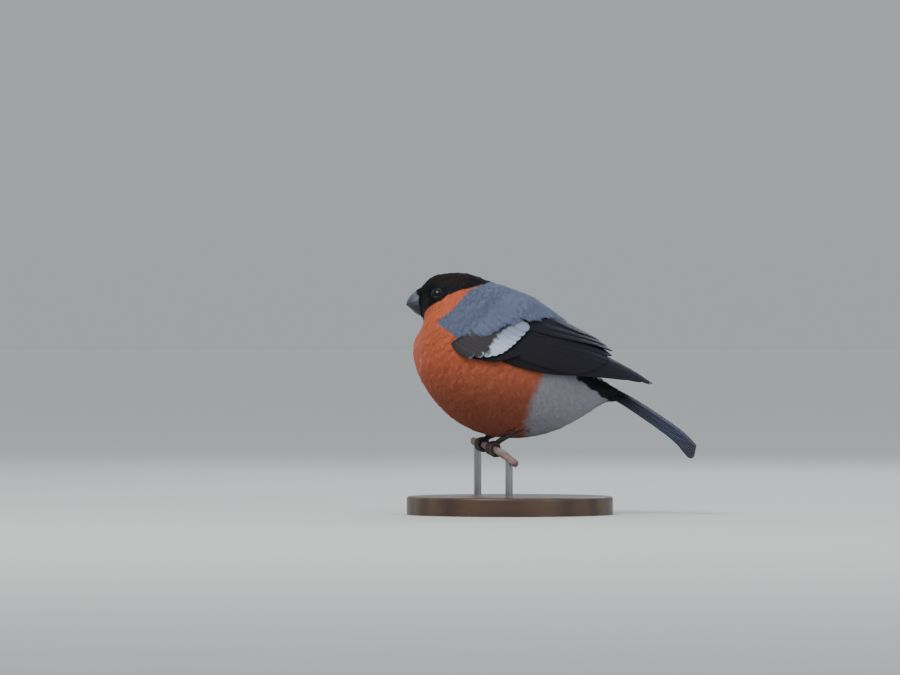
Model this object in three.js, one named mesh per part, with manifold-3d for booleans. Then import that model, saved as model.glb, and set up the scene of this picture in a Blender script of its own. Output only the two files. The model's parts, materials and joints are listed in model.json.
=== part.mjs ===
// A cock bullfinch at life size, fluffed up on a short cut stem over a round display base.
// Millimetres, +Z up. The bill points to -X and the bird's left side to -Y.
// The origin is the middle of the base's underside.

import * as THREE from "three";
import { mergeVertices } from "three/addons/utils/BufferGeometryUtils.js";
import Module from "manifold-3d";

const wasm = await Module();
wasm.setup();

// Gap kept between pieces that touch
const GAP = 0.3;

// Base and rods of the stand
const BASE_RADIUS = 45;
const BASE_HEIGHT = 8;
const BASE_CHAMFER = 1.2;
const BASE_SIDES = 48;
const ROD_RADIUS = 1.6;
const ROD_PLACES = { near: 0.86, far: 0.1 };

// The cut stem, from its far end to its near one, and its radius
const STEM_LINE = [[-15.5, 25, 31.6], [-11.6, 7.4, 30.4], [-7.2, -7.4, 28.9], [-2.6, -18, 26.2], [2.2, -26, 22.6]];
const STEM_RADIUS = 1.7;

// Rings of the body from the bill to the tail's coverts. Each one runs from a point of the back
// line to one of the belly line, and the body is twice half wide there.
const BODY_RINGS = [
  { back: [-39.7, 98.1], belly: [-38.3, 86.0], half: 5.2 },
  { back: [-33.2, 104.1], belly: [-37.4, 83.8], half: 10.8 },
  { back: [-19.5, 105.4], belly: [-39.0, 80.4], half: 13.8 },
  { back: [-8.5, 101.7], belly: [-41.8, 75.5], half: 17.4 },
  { back: [0.0, 98.7], belly: [-42.0, 67.0], half: 21.8 },
  { back: [9.5, 94.6], belly: [-36.0, 53.5], half: 26.6 },
  { back: [17.5, 89.0], belly: [-24.0, 40.8], half: 29.0 },
  { back: [23.5, 82.0], belly: [-8.5, 34.2], half: 28.4 },
  { back: [27.8, 75.0], belly: [7.0, 33.4], half: 25.0 },
  { back: [31.5, 68.6], belly: [20.5, 36.8], half: 19.0 },
  { back: [35.5, 63.2], belly: [32.0, 42.8], half: 13.0 },
  { back: [41.0, 58.4], belly: [42.0, 48.9], half: 8.0 },
  { back: [50.0, 52.6], belly: [50.3, 49.6], half: 4.6 },
];
const NECK_RING = 3.0;
const TORSO_RING = 4.0;
const TAIL_RING = 10.3;

// Rings of the surface that the folded wings lie on: the body's, then past the rump to the tips
const WING_RINGS = [
  ...BODY_RINGS.slice(3, 7),
  { back: [27.5, 81.8], belly: [0.0, 33.0], half: 28.0 },
  { back: [36.0, 76.0], belly: [17.0, 33.0], half: 23.0 },
  { back: [45.5, 69.0], belly: [34.0, 37.0], half: 16.5 },
  { back: [55.0, 62.2], belly: [48.0, 42.0], half: 10.5 },
  { back: [65.5, 54.6], belly: [60.0, 46.0], half: 6.0 },
];

// How much wider the body is below its middle than above it
const SAG = 0.1;

// Bill: rings from the face to the tip, and the line of the mouth
const BILL_RINGS = [
  { back: [-40.1, 97.8], belly: [-38.7, 86.5], half: 4.8 },
  { back: [-42.5, 96.3], belly: [-41.2, 87.7], half: 4.1 },
  { back: [-44.5, 93.8], belly: [-43.4, 89.7], half: 2.5 },
  { back: [-45.3, 91.5], belly: [-44.8, 90.9], half: 0.5 },
];
const MOUTH_CORNER = [-39.0, 93.2];
const MOUTH_TIP = [-45.2, 91.5];
const NOSTRIL = { place: [-40.9, 3.0, 95.6], radius: 0.55 };

// Eye: its middle in the side view, radius, depth of the ball's middle under the skin, lid's radius
const EYE_PLACE = [-31.7, 96.5];
const EYE_RADIUS = 2.8;
const EYE_DEPTH = 1.4;
const LID_RADIUS = 0.6;

// Legs: thigh, heel and foot, each as its distance from the middle plane and place in side view
const LEG_RADIUS = 1.15;
const THIGH = { side: 13.5, place: [11.5, 45.0], radius: 2.6 };
const HEEL = { side: 15.0, place: [6.0, 38.6], radius: 1.7 };
const FOOT_STATIONS = { near: 0.515, far: 0.24 };
const FOOT_CUT = 3.4;
const TOE_RADIUS = 0.85;

// Parting of the belly feathers outside each shank: radius and how far out and down it lies
const PARTING = { radius: 3.1, out: 2.9, down: 1.2 };
const CLAW_RADIUS = 0.5;

// Toes: start and end angle round the stem from its top towards the bill, and how far along the
// stem each one starts and ends. The claw goes on by CLAW_TURN.
const TOES = [
  { from: -35, to: 190, start: -0.9, end: -3.6 },
  { from: -35, to: 215, start: 0.0, end: 0.2 },
  { from: -35, to: 190, start: 0.9, end: 3.8 },
  { from: -20, to: -120, start: 0.0, end: -0.6 },
];
const CLAW_TURN = 62;

// Core of a wing, as an outline in the side view, and how far it stands off the body
const WING_CORE = [[-26.3, 74.0], [-22.0, 69.7], [-8.0, 67.6], [3.0, 66.6], [11.0, 74.0],
  [14.0, 83.0], [8.0, 90.5], [-4.0, 90.5], [-14.0, 85.0], [-22.0, 79.5]];
const CORE_LIFT = 1.0;
const VANE_THICKNESS = 0.5;
const VANE_LIFT = 1.4;
const WING_GAP = 0.4;

// Rows of a vane from root to tip: share of the length, of the width and of the thickness
const LONG_VANE = [[0, 0.6, 1], [0.4, 1, 1], [0.75, 1, 1], [0.92, 0.72, 0.85], [1, 0.2, 0.5]];
const SHORT_VANE = [[0, 0.7, 1], [0.5, 1, 1], [0.85, 0.8, 0.9], [1, 0.25, 0.5]];

// Tiers of a wing, each from its lowest feather to its highest: where roots and tips lie in the
// side view, width of the lowest and highest, and how far the tips stand off
const WING_TIERS = {
  primaries: {
    count: 6,
    roots: [[-1.0, 68.0], [5.0, 71.5]],
    tips: [[54.0, 57.2], [61.8, 56.3], [57.0, 59.7], [48.5, 64.6]],
    width: [6.0, 7.0],
    rows: LONG_VANE,
    lift: -0.6,
  },
  secondaries: {
    count: 6,
    roots: [[4.0, 71.5], [9.5, 81.0]],
    tips: [[31.0, 62.3], [38.5, 64.2], [44.0, 68.6]],
    width: [6.5, 7.5],
    rows: LONG_VANE,
    lift: -0.2,
  },
  tertials: {
    count: 3,
    roots: [[6.0, 82.0], [12.5, 88.0]],
    tips: [[43.5, 70.2], [39.5, 73.2], [33.5, 77.0]],
    width: [9.5, 8.0],
    rows: LONG_VANE,
    lift: 0.5,
  },
  primaryCoverts: {
    count: 3,
    roots: [[-21.0, 70.5], [-15.0, 73.5]],
    tips: [[-2.0, 67.2], [3.0, 69.0]],
    width: [4.0, 4.5],
    rows: SHORT_VANE,
    lift: 0.2,
  },
  greaterCoverts: {
    count: 7,
    roots: [[-24.0, 75.0], [-15.0, 82.0], [-4.0, 88.0]],
    tips: [[-13.0, 68.9], [-3.9, 70.2], [2.0, 73.8], [7.0, 80.0]],
    width: [6.0, 7.5],
    rows: SHORT_VANE,
    lift: 0.9,
  },
  medianCoverts: {
    count: 5,
    roots: [[-25.5, 76.0], [-18.0, 84.0], [-8.0, 90.0]],
    tips: [[-19.5, 72.2], [-13.0, 76.0], [-6.5, 80.0], [1.5, 85.0]],
    width: [5.5, 6.5],
    rows: SHORT_VANE,
    lift: 1.0,
  },
  scapulars: {
    count: 4,
    roots: [[-8.0, 88.0], [2.0, 95.0]],
    tips: [[7.0, 83.0], [14.0, 85.5], [19.5, 86.0]],
    width: [7.5, 8.5],
    rows: SHORT_VANE,
    lift: 1.0,
  },
};

// Slope at which each vane of a wing or tail lies over its neighbour
const VANE_LEAN = 0.24;

// Tail: line of the middle pair from root to tip; each pair further out starts and ends further
// from the middle plane, lies lower and reaches a little further
const TAIL_LINE = [[40.0, 57.6], [52.0, 51.9], [66.0, 43.2], [76.0, 36.0], [81.6, 30.4]];
const TAIL_PAIRS = 6;
const TAIL_FEATHER_WIDTH = 7.6;
const TAIL_SPREAD = { root: [0.9, 0.75], tip: [2.3, 1.35] };
const TAIL_DROP = 0.92;
const TAIL_STEP = 0.5;
const TAIL_LEAN = 0.12;

// Coverts over and under the tail's root: line of the middle feather, number, and spread
const TAIL_COVERTS = [
  { line: [[38.0, 60.4], [45.0, 56.4], [51.5, 52.6]], count: 3, width: 7.5, spread: 4.0, face: 1 },
  { line: [[40.0, 47.6], [46.0, 47.6], [52.5, 46.2]], count: 3, width: 8.0, spread: 4.2, face: -1 },
];

const COLOURS = {
  cap: [0x14141a, 0.45],
  bill: [0x2c2e35, 0.35],
  eye: [0x0b0708, 0.08],
  neck: [0xb0573c, 0.8],
  torso: [0x9c5040, 0.85],
  wing: [0x23202c, 0.5],
  tail: [0x2a2c46, 0.45],
  leg: [0x33231f, 0.6],
  stem: [0x8a6a5c, 0.8],
  rod: [0x9a9ca0, 0.35, 0.9],
  base: [0x4a3526, 0.5],
};

// Vector from a side view place and a distance from the middle plane
function at(place, y = 0) {
  return new THREE.Vector3(place[0], y, place[1]);
}

// Sphere geometry with each row and column put where place(row share, angle) says
function wrapped(columns, rows, place) {
  const geometry = new THREE.SphereGeometry(1, columns, rows);
  const position = geometry.getAttribute("position");
  for (let row = 0; row <= rows; row += 1) {
    for (let column = 0; column <= columns; column += 1) {
      const angle = (2 * Math.PI * (column % columns)) / columns;
      const point = place(row / rows, angle);
      position.setXYZ(row * (columns + 1) + column, point.x, point.y, point.z);
    }
  }
  return geometry;
}

// Closed solid from a geometry, with its faces pointing out
function solidOf(geometry) {
  const bare = geometry.index ? geometry : mergeVertices(geometry);
  bare.deleteAttribute("normal");
  bare.deleteAttribute("uv");
  const merged = mergeVertices(bare, 1e-4);
  const vertProperties = new Float32Array(merged.getAttribute("position").array);
  const triVerts = new Uint32Array(merged.index.array);
  const corners = [new THREE.Vector3(), new THREE.Vector3(), new THREE.Vector3()];
  let volume = 0;
  for (let i = 0; i < triVerts.length; i += 3) {
    corners.forEach((corner, k) => corner.fromArray(vertProperties, triVerts[i + k] * 3));
    volume += corners[0].dot(corners[1].cross(corners[2]));
  }
  if (volume < 0) {
    for (let i = 0; i < triVerts.length; i += 3) {
      [triVerts[i + 1], triVerts[i + 2]] = [triVerts[i + 2], triVerts[i + 1]];
    }
  }
  return new wasm.Manifold(new wasm.Mesh({ numProp: 3, vertProperties, triVerts }));
}

// Joined solid of a list
function joined(solids) {
  return solids.reduce((sum, solid) => sum.add(solid));
}

// Named mesh of a solid's largest closed surface
function node(name, solid, [colour, roughness, metalness = 0]) {
  const largest = solid.decompose().sort((a, b) => b.volume() - a.volume())[0];
  const { vertProperties, triVerts } = largest.getMesh();
  const geometry = new THREE.BufferGeometry();
  geometry.setAttribute("position", new THREE.BufferAttribute(vertProperties, 3));
  geometry.setIndex(new THREE.BufferAttribute(triVerts, 1));
  geometry.computeVertexNormals();
  const material = new THREE.MeshStandardMaterial({ color: colour, roughness, metalness });
  const mesh = new THREE.Mesh(geometry, material);
  mesh.name = name;
  return mesh;
}

// Form whose rings run from a back line to a belly line
class RingForm {
  constructor(rings) {
    this.last = rings.length - 1;
    this.backLine = new THREE.CatmullRomCurve3(rings.map((ring) => at(ring.back, ring.half)));
    this.bellyLine = new THREE.CatmullRomCurve3(rings.map((ring) => at(ring.belly)));
  }

  ring(index) {
    const share = THREE.MathUtils.clamp(index / this.last, 0, 1);
    const back = this.backLine.getPoint(share);
    const belly = this.bellyLine.getPoint(share);
    const half = back.y;
    back.y = 0;
    const middle = back.clone().add(belly).multiplyScalar(0.5);
    const rise = back.clone().sub(belly).multiplyScalar(0.5);
    const along = new THREE.Vector3(-rise.z, 0, rise.x).normalize().negate();
    return { back, belly, half, middle, rise, along };
  }

  // Point on the surface at an angle from the back line, grown outwards
  point(index, angle, side, grow = 0) {
    const { half, middle, rise } = this.ring(index);
    const point = rise.clone().setLength(rise.length() + grow).multiplyScalar(Math.cos(angle)).add(middle);
    point.y = side * (half + grow) * Math.sin(angle) * (1 - SAG * Math.cos(angle));
    return point;
  }

  // Ring index and angle of a place in the side view
  find(place) {
    const target = at(place);
    let low = 0;
    let high = this.last;
    for (let step = 0; step < 30; step += 1) {
      const index = (low + high) / 2;
      const { middle, along } = this.ring(index);
      if (target.clone().sub(middle).dot(along) > 0) {
        low = index;
      } else {
        high = index;
      }
    }
    const { middle, rise } = this.ring(low);
    const share = target.sub(middle).dot(rise) / rise.lengthSq();
    return { index: low, angle: Math.acos(THREE.MathUtils.clamp(share, -1, 1)) };
  }

  // Outward direction of the surface
  normal(index, angle, side) {
    const step = 0.02;
    const across = this.point(index, angle + step, side).sub(this.point(index, angle - step, side));
    const along = this.point(index + step, angle, side).sub(this.point(index - step, angle, side));
    const normal = across.cross(along).normalize();
    const { middle } = this.ring(index);
    return normal.dot(this.point(index, angle, side).sub(middle)) < 0 ? normal.negate() : normal;
  }

  // Closed solid between two rings, kept short of each end and grown outwards
  solid(from, to, columns, rows, { short = [0, 0], grow = 0 } = {}) {
    return solidOf(wrapped(columns, rows, (share, angle) => {
      const inner = THREE.MathUtils.clamp((share * rows - 1) / (rows - 2), 0, 1);
      const index = from + (to - from) * inner;
      const { middle, along } = this.ring(index);
      const pole = share === 0 || share === 1;
      const point = pole ? middle : this.point(index, angle, 1, grow);
      if (inner === 0) {
        point.addScaledVector(along, short[0]);
      }
      if (inner === 1) {
        point.addScaledVector(along, -short[1]);
      }
      return point;
    }));
  }
}

// Round limb along a smooth line, with its radius given at equal steps
function limb(points, radii, columns, rows, grow = 0) {
  const line = new THREE.CatmullRomCurve3(points);
  const frames = line.computeFrenetFrames(rows - 2);
  return solidOf(wrapped(columns, rows, (share, angle) => {
    const row = Math.round(THREE.MathUtils.clamp(share * rows - 1, 0, rows - 2));
    const inner = row / (rows - 2);
    const spot = inner * (radii.length - 1);
    const low = Math.min(Math.floor(spot), radii.length - 2);
    const radius = THREE.MathUtils.lerp(radii[low], radii[low + 1], spot - low) + grow;
    const point = line.getPointAt(inner);
    if (share === 0 || share === 1) {
      return point.addScaledVector(frames.tangents[row], share === 0 ? -grow : grow);
    }
    point.addScaledVector(frames.normals[row], radius * Math.cos(angle));
    return point.addScaledVector(frames.binormals[row], radius * Math.sin(angle));
  }));
}

// Ball with few or many faces
function ball(centre, radius, columns, rows) {
  const geometry = new THREE.SphereGeometry(radius, columns, rows);
  geometry.translate(centre.x, centre.y, centre.z);
  return solidOf(geometry);
}

// Feather vane: four corners at each row, joined by triangles that are alike on both faces.
// frame(share) gives the shaft's point, the way across and the way out, and each row its share of
// the length, width and thickness.
function vane(frame, width, lean, rows) {
  const positions = [];
  const faces = [];
  rows.forEach(([share, wide, thick], row) => {
    const { point, across, out } = frame(share);
    const reach = (width / 2) * wide;
    const half = (VANE_THICKNESS / 2) * thick;
    for (const [side, face] of [[-1, 1], [1, 1], [1, -1], [-1, -1]]) {
      const corner = point.clone().addScaledVector(across, side * reach);
      corner.addScaledVector(out, face * half + side * reach * lean);
      positions.push(corner.x, corner.y, corner.z);
    }
    if (row > 0) {
      const [a, b, c, d] = [0, 1, 2, 3].map((corner) => 4 * (row - 1) + corner);
      const [e, f, g, h] = [0, 1, 2, 3].map((corner) => 4 * row + corner);
      faces.push(a, b, f, a, f, e, d, g, c, d, h, g, a, e, h, a, h, d, b, c, g, b, g, f);
    }
  });
  const tip = 4 * (rows.length - 1);
  faces.push(0, 3, 2, 0, 2, 1, tip, tip + 1, tip + 2, tip, tip + 2, tip + 3);
  const geometry = new THREE.BufferGeometry();
  geometry.setAttribute("position", new THREE.Float32BufferAttribute(positions, 3));
  geometry.setIndex(faces);
  return solidOf(geometry);
}

const body = new RingForm(BODY_RINGS);
const wingForm = new RingForm(WING_RINGS);
const billForm = new RingForm(BILL_RINGS);
const stemLine = new THREE.CatmullRomCurve3(STEM_LINE.map((point) => new THREE.Vector3(...point)));

// Thin slab across the middle plane through two places of the side view
function slab(from, to, length, thickness) {
  const geometry = new THREE.BoxGeometry(length, length, thickness);
  geometry.rotateY(-Math.atan2(to[1] - from[1], to[0] - from[0]));
  geometry.translate((from[0] + to[0]) / 2, 0, (from[1] + to[1]) / 2);
  return solidOf(geometry);
}

// Middle of the eye's ball on one side of the head
function eyeCentre(side) {
  const { index, angle } = body.find(EYE_PLACE);
  const out = body.normal(index, angle, side);
  return { out, centre: body.point(index, angle, side).addScaledVector(out, -EYE_DEPTH) };
}

function head() {
  let solid = body.solid(0, NECK_RING, 30, 13, { short: [0, GAP / 2] });
  for (const side of [-1, 1]) {
    const { centre, out } = eyeCentre(side);
    const lid = new THREE.TorusGeometry(EYE_RADIUS + 0.15, LID_RADIUS, 5, 14);
    lid.applyQuaternion(new THREE.Quaternion().setFromUnitVectors(new THREE.Vector3(0, 0, 1), out));
    const middle = centre.clone().addScaledVector(out, EYE_DEPTH);
    lid.translate(middle.x, middle.y, middle.z);
    solid = solid.add(solidOf(lid)).subtract(ball(centre, EYE_RADIUS + GAP, 14, 8));
  }
  return solid;
}

function bill() {
  const whole = billForm.solid(0, 3, 16, 11);
  const mouth = slab(MOUTH_CORNER, MOUTH_TIP, 30, GAP);
  const halves = whole.subtract(mouth).decompose().sort((a, b) => b.boundingBox().max[2] - a.boundingBox().max[2]);
  let upper = halves[0];
  for (const side of [-1, 1]) {
    const [x, y, z] = NOSTRIL.place;
    upper = upper.subtract(ball(new THREE.Vector3(x, side * y, z), NOSTRIL.radius, 7, 5));
  }
  return { upper, lower: halves[1] };
}

// Place and directions of a foot on the stem
function grip(side) {
  const share = side < 0 ? FOOT_STATIONS.near : FOOT_STATIONS.far;
  const centre = stemLine.getPoint(share);
  const along = stemLine.getTangent(share);
  const front = new THREE.Vector3(-1, 0, 0).addScaledVector(along, along.x).normalize();
  const up = along.clone().cross(front).normalize();
  if (up.z < 0) {
    up.negate();
  }
  return { centre, along, front, up };
}

// Leg and foot of one side, grown outwards when a clearance is wanted
function limbs(side, grow = 0) {
  const { centre, along, front, up } = grip(side);
  const ring = (degrees, radius, shift) => {
    const angle = THREE.MathUtils.degToRad(degrees);
    return centre.clone().addScaledVector(front, radius * Math.sin(angle))
      .addScaledVector(up, radius * Math.cos(angle)).addScaledVector(along, shift);
  };
  const reach = STEM_RADIUS + GAP + TOE_RADIUS;
  const ankle = ring(-35, reach + 0.6, 0);
  const heel = at(HEEL.place, side * HEEL.side);
  const thigh = at(THIGH.place, side * THIGH.side);
  const lower = limb([heel, heel.clone().lerp(ankle, 0.5), ankle], [HEEL.radius, LEG_RADIUS, LEG_RADIUS, 1.15], 10, 9, grow);
  const upper = limb([thigh, thigh.clone().lerp(heel, 0.5), heel], [THIGH.radius, THIGH.radius, HEEL.radius], 10, 7, grow);
  const toes = TOES.map(({ from, to, start, end }) => {
    const way = Math.sign(to - from);
    const stations = [0, 0.25, 0.5, 0.75, 1];
    const points = stations.map((share) => ring(from + (to - from) * share, reach, start + (end - start) * share));
    const toe = limb(points, [TOE_RADIUS * 1.1, TOE_RADIUS * 0.9, TOE_RADIUS], 6, 10, grow);
    const turn = (share) => ring(to + way * CLAW_TURN * share, reach + share * 0.5, end);
    const claw = limb([0, 0.5, 1].map(turn), [CLAW_RADIUS * 1.3, CLAW_RADIUS, 0.2], 5, 5, grow);
    return toe.add(claw);
  });
  return { leg: upper.add(lower), toes: joined(toes), ankle, heel };
}

// Leg and foot parted by a thin cut across the shank
function legAndFoot(side) {
  const { leg, toes, ankle, heel } = limbs(side);
  const way = heel.clone().sub(ankle).normalize();
  const cut = way.dot(ankle) + FOOT_CUT;
  const upper = leg.trimByPlane(way.toArray(), cut + GAP / 2);
  const lower = leg.trimByPlane(way.clone().negate().toArray(), -(cut - GAP / 2));
  return { leg: upper, foot: lower.add(toes) };
}

function stemSolid(grow = 0) {
  const points = STEM_LINE.map((point) => new THREE.Vector3(...point));
  return limb(points, [STEM_RADIUS, STEM_RADIUS, STEM_RADIUS * 0.94], 11, 16, grow);
}

function torso() {
  let solid = body.solid(TORSO_RING, TAIL_RING, 36, 20, { short: [GAP / 2, GAP / 2] });
  for (const side of [-1, 1]) {
    const { leg, toes, heel, ankle } = limbs(side, GAP);
    const parting = [heel, ankle].map((end) => end.clone().add(new THREE.Vector3(0, side * PARTING.out, -PARTING.down)));
    parting.splice(1, 0, parting[0].clone().lerp(parting[1], 0.5));
    const groove = limb(parting, [PARTING.radius * 0.7, PARTING.radius, PARTING.radius], 9, 6);
    solid = solid.subtract(leg).subtract(toes).subtract(groove);
  }
  return solid.subtract(stemSolid(GAP));
}

// Feathers of one tier on a wing
function tier({ count, roots, tips, width, lift, rows }, side) {
  const rootLine = new THREE.CatmullRomCurve3(roots.map((place) => at(place)));
  const tipLine = new THREE.CatmullRomCurve3(tips.map((place) => at(place)));
  return Array.from({ length: count }, (_, i) => {
    const share = count > 1 ? i / (count - 1) : 0;
    const root = rootLine.getPoint(share);
    const tip = tipLine.getPoint(share);
    const start = wingForm.find([root.x, root.z]);
    const end = wingForm.find([tip.x, tip.z]);
    const spot = (u) => [THREE.MathUtils.lerp(start.index, end.index, u), THREE.MathUtils.lerp(start.angle, end.angle, u)];
    const frame = (u) => {
      const [index, angle] = spot(u);
      const out = wingForm.normal(index, angle, side);
      const ahead = wingForm.point(...spot(u + 0.02), side).sub(wingForm.point(...spot(u - 0.02), side)).normalize();
      const across = out.clone().cross(ahead).multiplyScalar(-side).normalize();
      const point = wingForm.point(index, angle, side).addScaledVector(out, VANE_LIFT + lift * u);
      return { point, across, out };
    };
    return vane(frame, THREE.MathUtils.lerp(width[0], width[1], share), -VANE_LEAN, rows);
  });
}

function wing(side, grownBody) {
  const outline = new THREE.Shape(new THREE.SplineCurve([...WING_CORE, WING_CORE[0]]
    .map(([x, z]) => new THREE.Vector2(x, z))).getPoints(WING_CORE.length * 2).slice(0, -1));
  const prism = new THREE.ExtrudeGeometry(outline, { depth: 60, bevelEnabled: false, steps: 1 });
  prism.rotateX(Math.PI / 2);
  prism.translate(0, side < 0 ? -WING_GAP : 60 + WING_GAP, 0);
  const shell = wingForm.solid(0, WING_RINGS.length - 1, 32, 18, { grow: CORE_LIFT });
  const core = shell.intersect(solidOf(prism));
  const vanes = Object.values(WING_TIERS).flatMap((entry) => tier(entry, side));
  const half = joined([core, ...vanes]).trimByPlane([0, side, 0], WING_GAP);
  return half.subtract(grownBody);
}

// Frame of a tail feather: its line in the side view, moved aside and down from root to tip
function tailFrame(places, root, tip, drop, reach) {
  const line = new THREE.CatmullRomCurve3(places.map((place) => at(place)));
  return (share) => {
    const ahead = line.getTangent(share);
    const out = new THREE.Vector3(-ahead.z, 0, ahead.x);
    const point = line.getPoint(share).addScaledVector(ahead, reach * share).addScaledVector(out, -drop);
    point.y += THREE.MathUtils.lerp(root, tip, share);
    return { point, across: new THREE.Vector3(0, 1, 0), out };
  };
}

function tail() {
  const core = body.solid(TAIL_RING, BODY_RINGS.length - 1, 20, 8, { short: [GAP / 2, 0] });
  const feathers = [];
  for (let pair = 0; pair < TAIL_PAIRS; pair += 1) {
    for (const side of [-1, 1]) {
      const root = side * (TAIL_SPREAD.root[0] + TAIL_SPREAD.root[1] * pair);
      const tip = side * (TAIL_SPREAD.tip[0] + TAIL_SPREAD.tip[1] * pair);
      const frame = tailFrame(TAIL_LINE, root, tip, TAIL_DROP * pair, TAIL_STEP * pair);
      feathers.push(vane(frame, TAIL_FEATHER_WIDTH, -side * TAIL_LEAN, LONG_VANE));
    }
  }
  for (const { line, count, width, spread, face } of TAIL_COVERTS) {
    for (let i = 0; i < count; i += 1) {
      const place = i - (count - 1) / 2;
      const drop = face * 0.9 * Math.abs(place);
      const frame = tailFrame(line, place * spread * 0.5, place * spread, drop, -Math.abs(place));
      feathers.push(vane(frame, width, 0, SHORT_VANE));
    }
  }
  return joined([core, ...feathers]);
}

// Rod of the stand under one place of the stem
function rod(share) {
  const top = stemLine.getPoint(share);
  const foot = BASE_HEIGHT + GAP;
  const geometry = new THREE.CylinderGeometry(ROD_RADIUS, ROD_RADIUS, top.z - foot, 24);
  geometry.rotateX(Math.PI / 2);
  geometry.translate(top.x, top.y, (top.z + foot) / 2);
  return solidOf(geometry).subtract(stemSolid(GAP));
}

function base() {
  const profile = [
    [0, 0],
    [BASE_RADIUS, 0],
    [BASE_RADIUS, BASE_HEIGHT - BASE_CHAMFER],
    [BASE_RADIUS - BASE_CHAMFER, BASE_HEIGHT],
    [0, BASE_HEIGHT],
  ];
  const geometry = new THREE.LatheGeometry(profile.map(([x, y]) => new THREE.Vector2(x, y)), BASE_SIDES);
  geometry.rotateX(Math.PI / 2);
  return solidOf(geometry);
}

const bird = new THREE.Group();
const halves = bill();
const grownBody = body.solid(0, BODY_RINGS.length - 1, 36, 26, { grow: GAP });
bird.add(node("head", head(), COLOURS.cap));
bird.add(node("bill_upper", halves.upper, COLOURS.bill));
bird.add(node("bill_lower", halves.lower, COLOURS.bill));
bird.add(node("neck", body.solid(NECK_RING, TORSO_RING, 36, 4, { short: [GAP / 2, GAP / 2] }), COLOURS.neck));
bird.add(node("torso", torso(), COLOURS.torso));
bird.add(node("tail", tail(), COLOURS.tail));
for (const [name, side] of [["left", -1], ["right", 1]]) {
  const { leg, foot } = legAndFoot(side);
  bird.add(node(`eye_${name}`, ball(eyeCentre(side).centre, EYE_RADIUS, 14, 9), COLOURS.eye));
  bird.add(node(`wing_${name}`, wing(side, grownBody), COLOURS.wing));
  bird.add(node(`leg_${name}`, leg, COLOURS.leg));
  bird.add(node(`foot_${name}`, foot, COLOURS.leg));
}

const stand = new THREE.Group();
stand.add(node("perch", stemSolid(), COLOURS.stem));
stand.add(node("stand_rod_near", rod(ROD_PLACES.near), COLOURS.rod));
stand.add(node("stand_rod_far", rod(ROD_PLACES.far), COLOURS.rod));
stand.add(node("stand_base", base(), COLOURS.base));

const model = new THREE.Group();
model.add(bird, stand);
export default model;
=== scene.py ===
"""A cock bullfinch on a cut stem over a round base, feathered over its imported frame. Metres."""
import json
import math

import bmesh
import bpy
import numpy as np
from mathutils import Matrix, Vector

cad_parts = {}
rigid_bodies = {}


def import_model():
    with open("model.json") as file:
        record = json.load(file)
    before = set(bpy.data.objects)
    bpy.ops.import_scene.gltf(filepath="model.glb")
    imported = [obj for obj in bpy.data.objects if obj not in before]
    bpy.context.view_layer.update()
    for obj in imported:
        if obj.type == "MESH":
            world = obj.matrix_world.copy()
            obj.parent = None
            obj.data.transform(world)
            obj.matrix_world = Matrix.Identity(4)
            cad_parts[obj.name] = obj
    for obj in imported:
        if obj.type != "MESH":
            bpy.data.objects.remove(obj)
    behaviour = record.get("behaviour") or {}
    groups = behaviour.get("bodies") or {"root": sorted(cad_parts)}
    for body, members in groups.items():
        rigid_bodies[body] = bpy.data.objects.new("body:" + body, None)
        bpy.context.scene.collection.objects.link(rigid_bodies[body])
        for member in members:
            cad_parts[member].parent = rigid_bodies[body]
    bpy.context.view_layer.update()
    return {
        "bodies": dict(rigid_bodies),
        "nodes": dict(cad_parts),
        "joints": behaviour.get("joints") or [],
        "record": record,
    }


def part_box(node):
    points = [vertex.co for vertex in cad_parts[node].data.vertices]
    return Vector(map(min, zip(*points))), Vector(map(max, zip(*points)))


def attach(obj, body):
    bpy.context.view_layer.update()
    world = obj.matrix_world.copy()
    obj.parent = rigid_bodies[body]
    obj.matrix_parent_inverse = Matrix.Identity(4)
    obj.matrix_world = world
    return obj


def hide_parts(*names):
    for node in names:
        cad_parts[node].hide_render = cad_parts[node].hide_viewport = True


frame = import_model()

MM = 0.001
TURN = 2 * math.pi
rng = np.random.default_rng(7)

# Rings of the body from the bill to the tail's coverts, in mm: back line, belly line, half width
BODY_RINGS = [
    ((-39.7, 98.1), (-38.3, 86.0), 5.2),
    ((-33.2, 104.1), (-37.4, 83.8), 10.8),
    ((-19.5, 105.4), (-39.0, 80.4), 13.8),
    ((-8.5, 101.7), (-41.8, 75.5), 17.4),
    ((0.0, 98.7), (-42.0, 67.0), 21.8),
    ((9.5, 94.6), (-36.0, 53.5), 26.6),
    ((17.5, 89.0), (-24.0, 40.8), 29.0),
    ((23.5, 82.0), (-8.5, 34.2), 28.4),
    ((27.8, 75.0), (7.0, 33.4), 25.0),
    ((31.5, 68.6), (20.5, 36.8), 19.0),
    ((35.5, 63.2), (32.0, 42.8), 13.0),
    ((41.0, 58.4), (42.0, 48.9), 8.0),
    ((50.0, 52.6), (50.3, 49.6), 4.6),
]

# Rings of the surface that the folded wings lie on
WING_RINGS = BODY_RINGS[3:7] + [
    ((27.5, 81.8), (0.0, 33.0), 28.0),
    ((36.0, 76.0), (17.0, 33.0), 23.0),
    ((45.5, 69.0), (34.0, 37.0), 16.5),
    ((55.0, 62.2), (48.0, 42.0), 10.5),
    ((65.5, 54.6), (60.0, 46.0), 6.0),
]
SAG = 0.1

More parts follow.
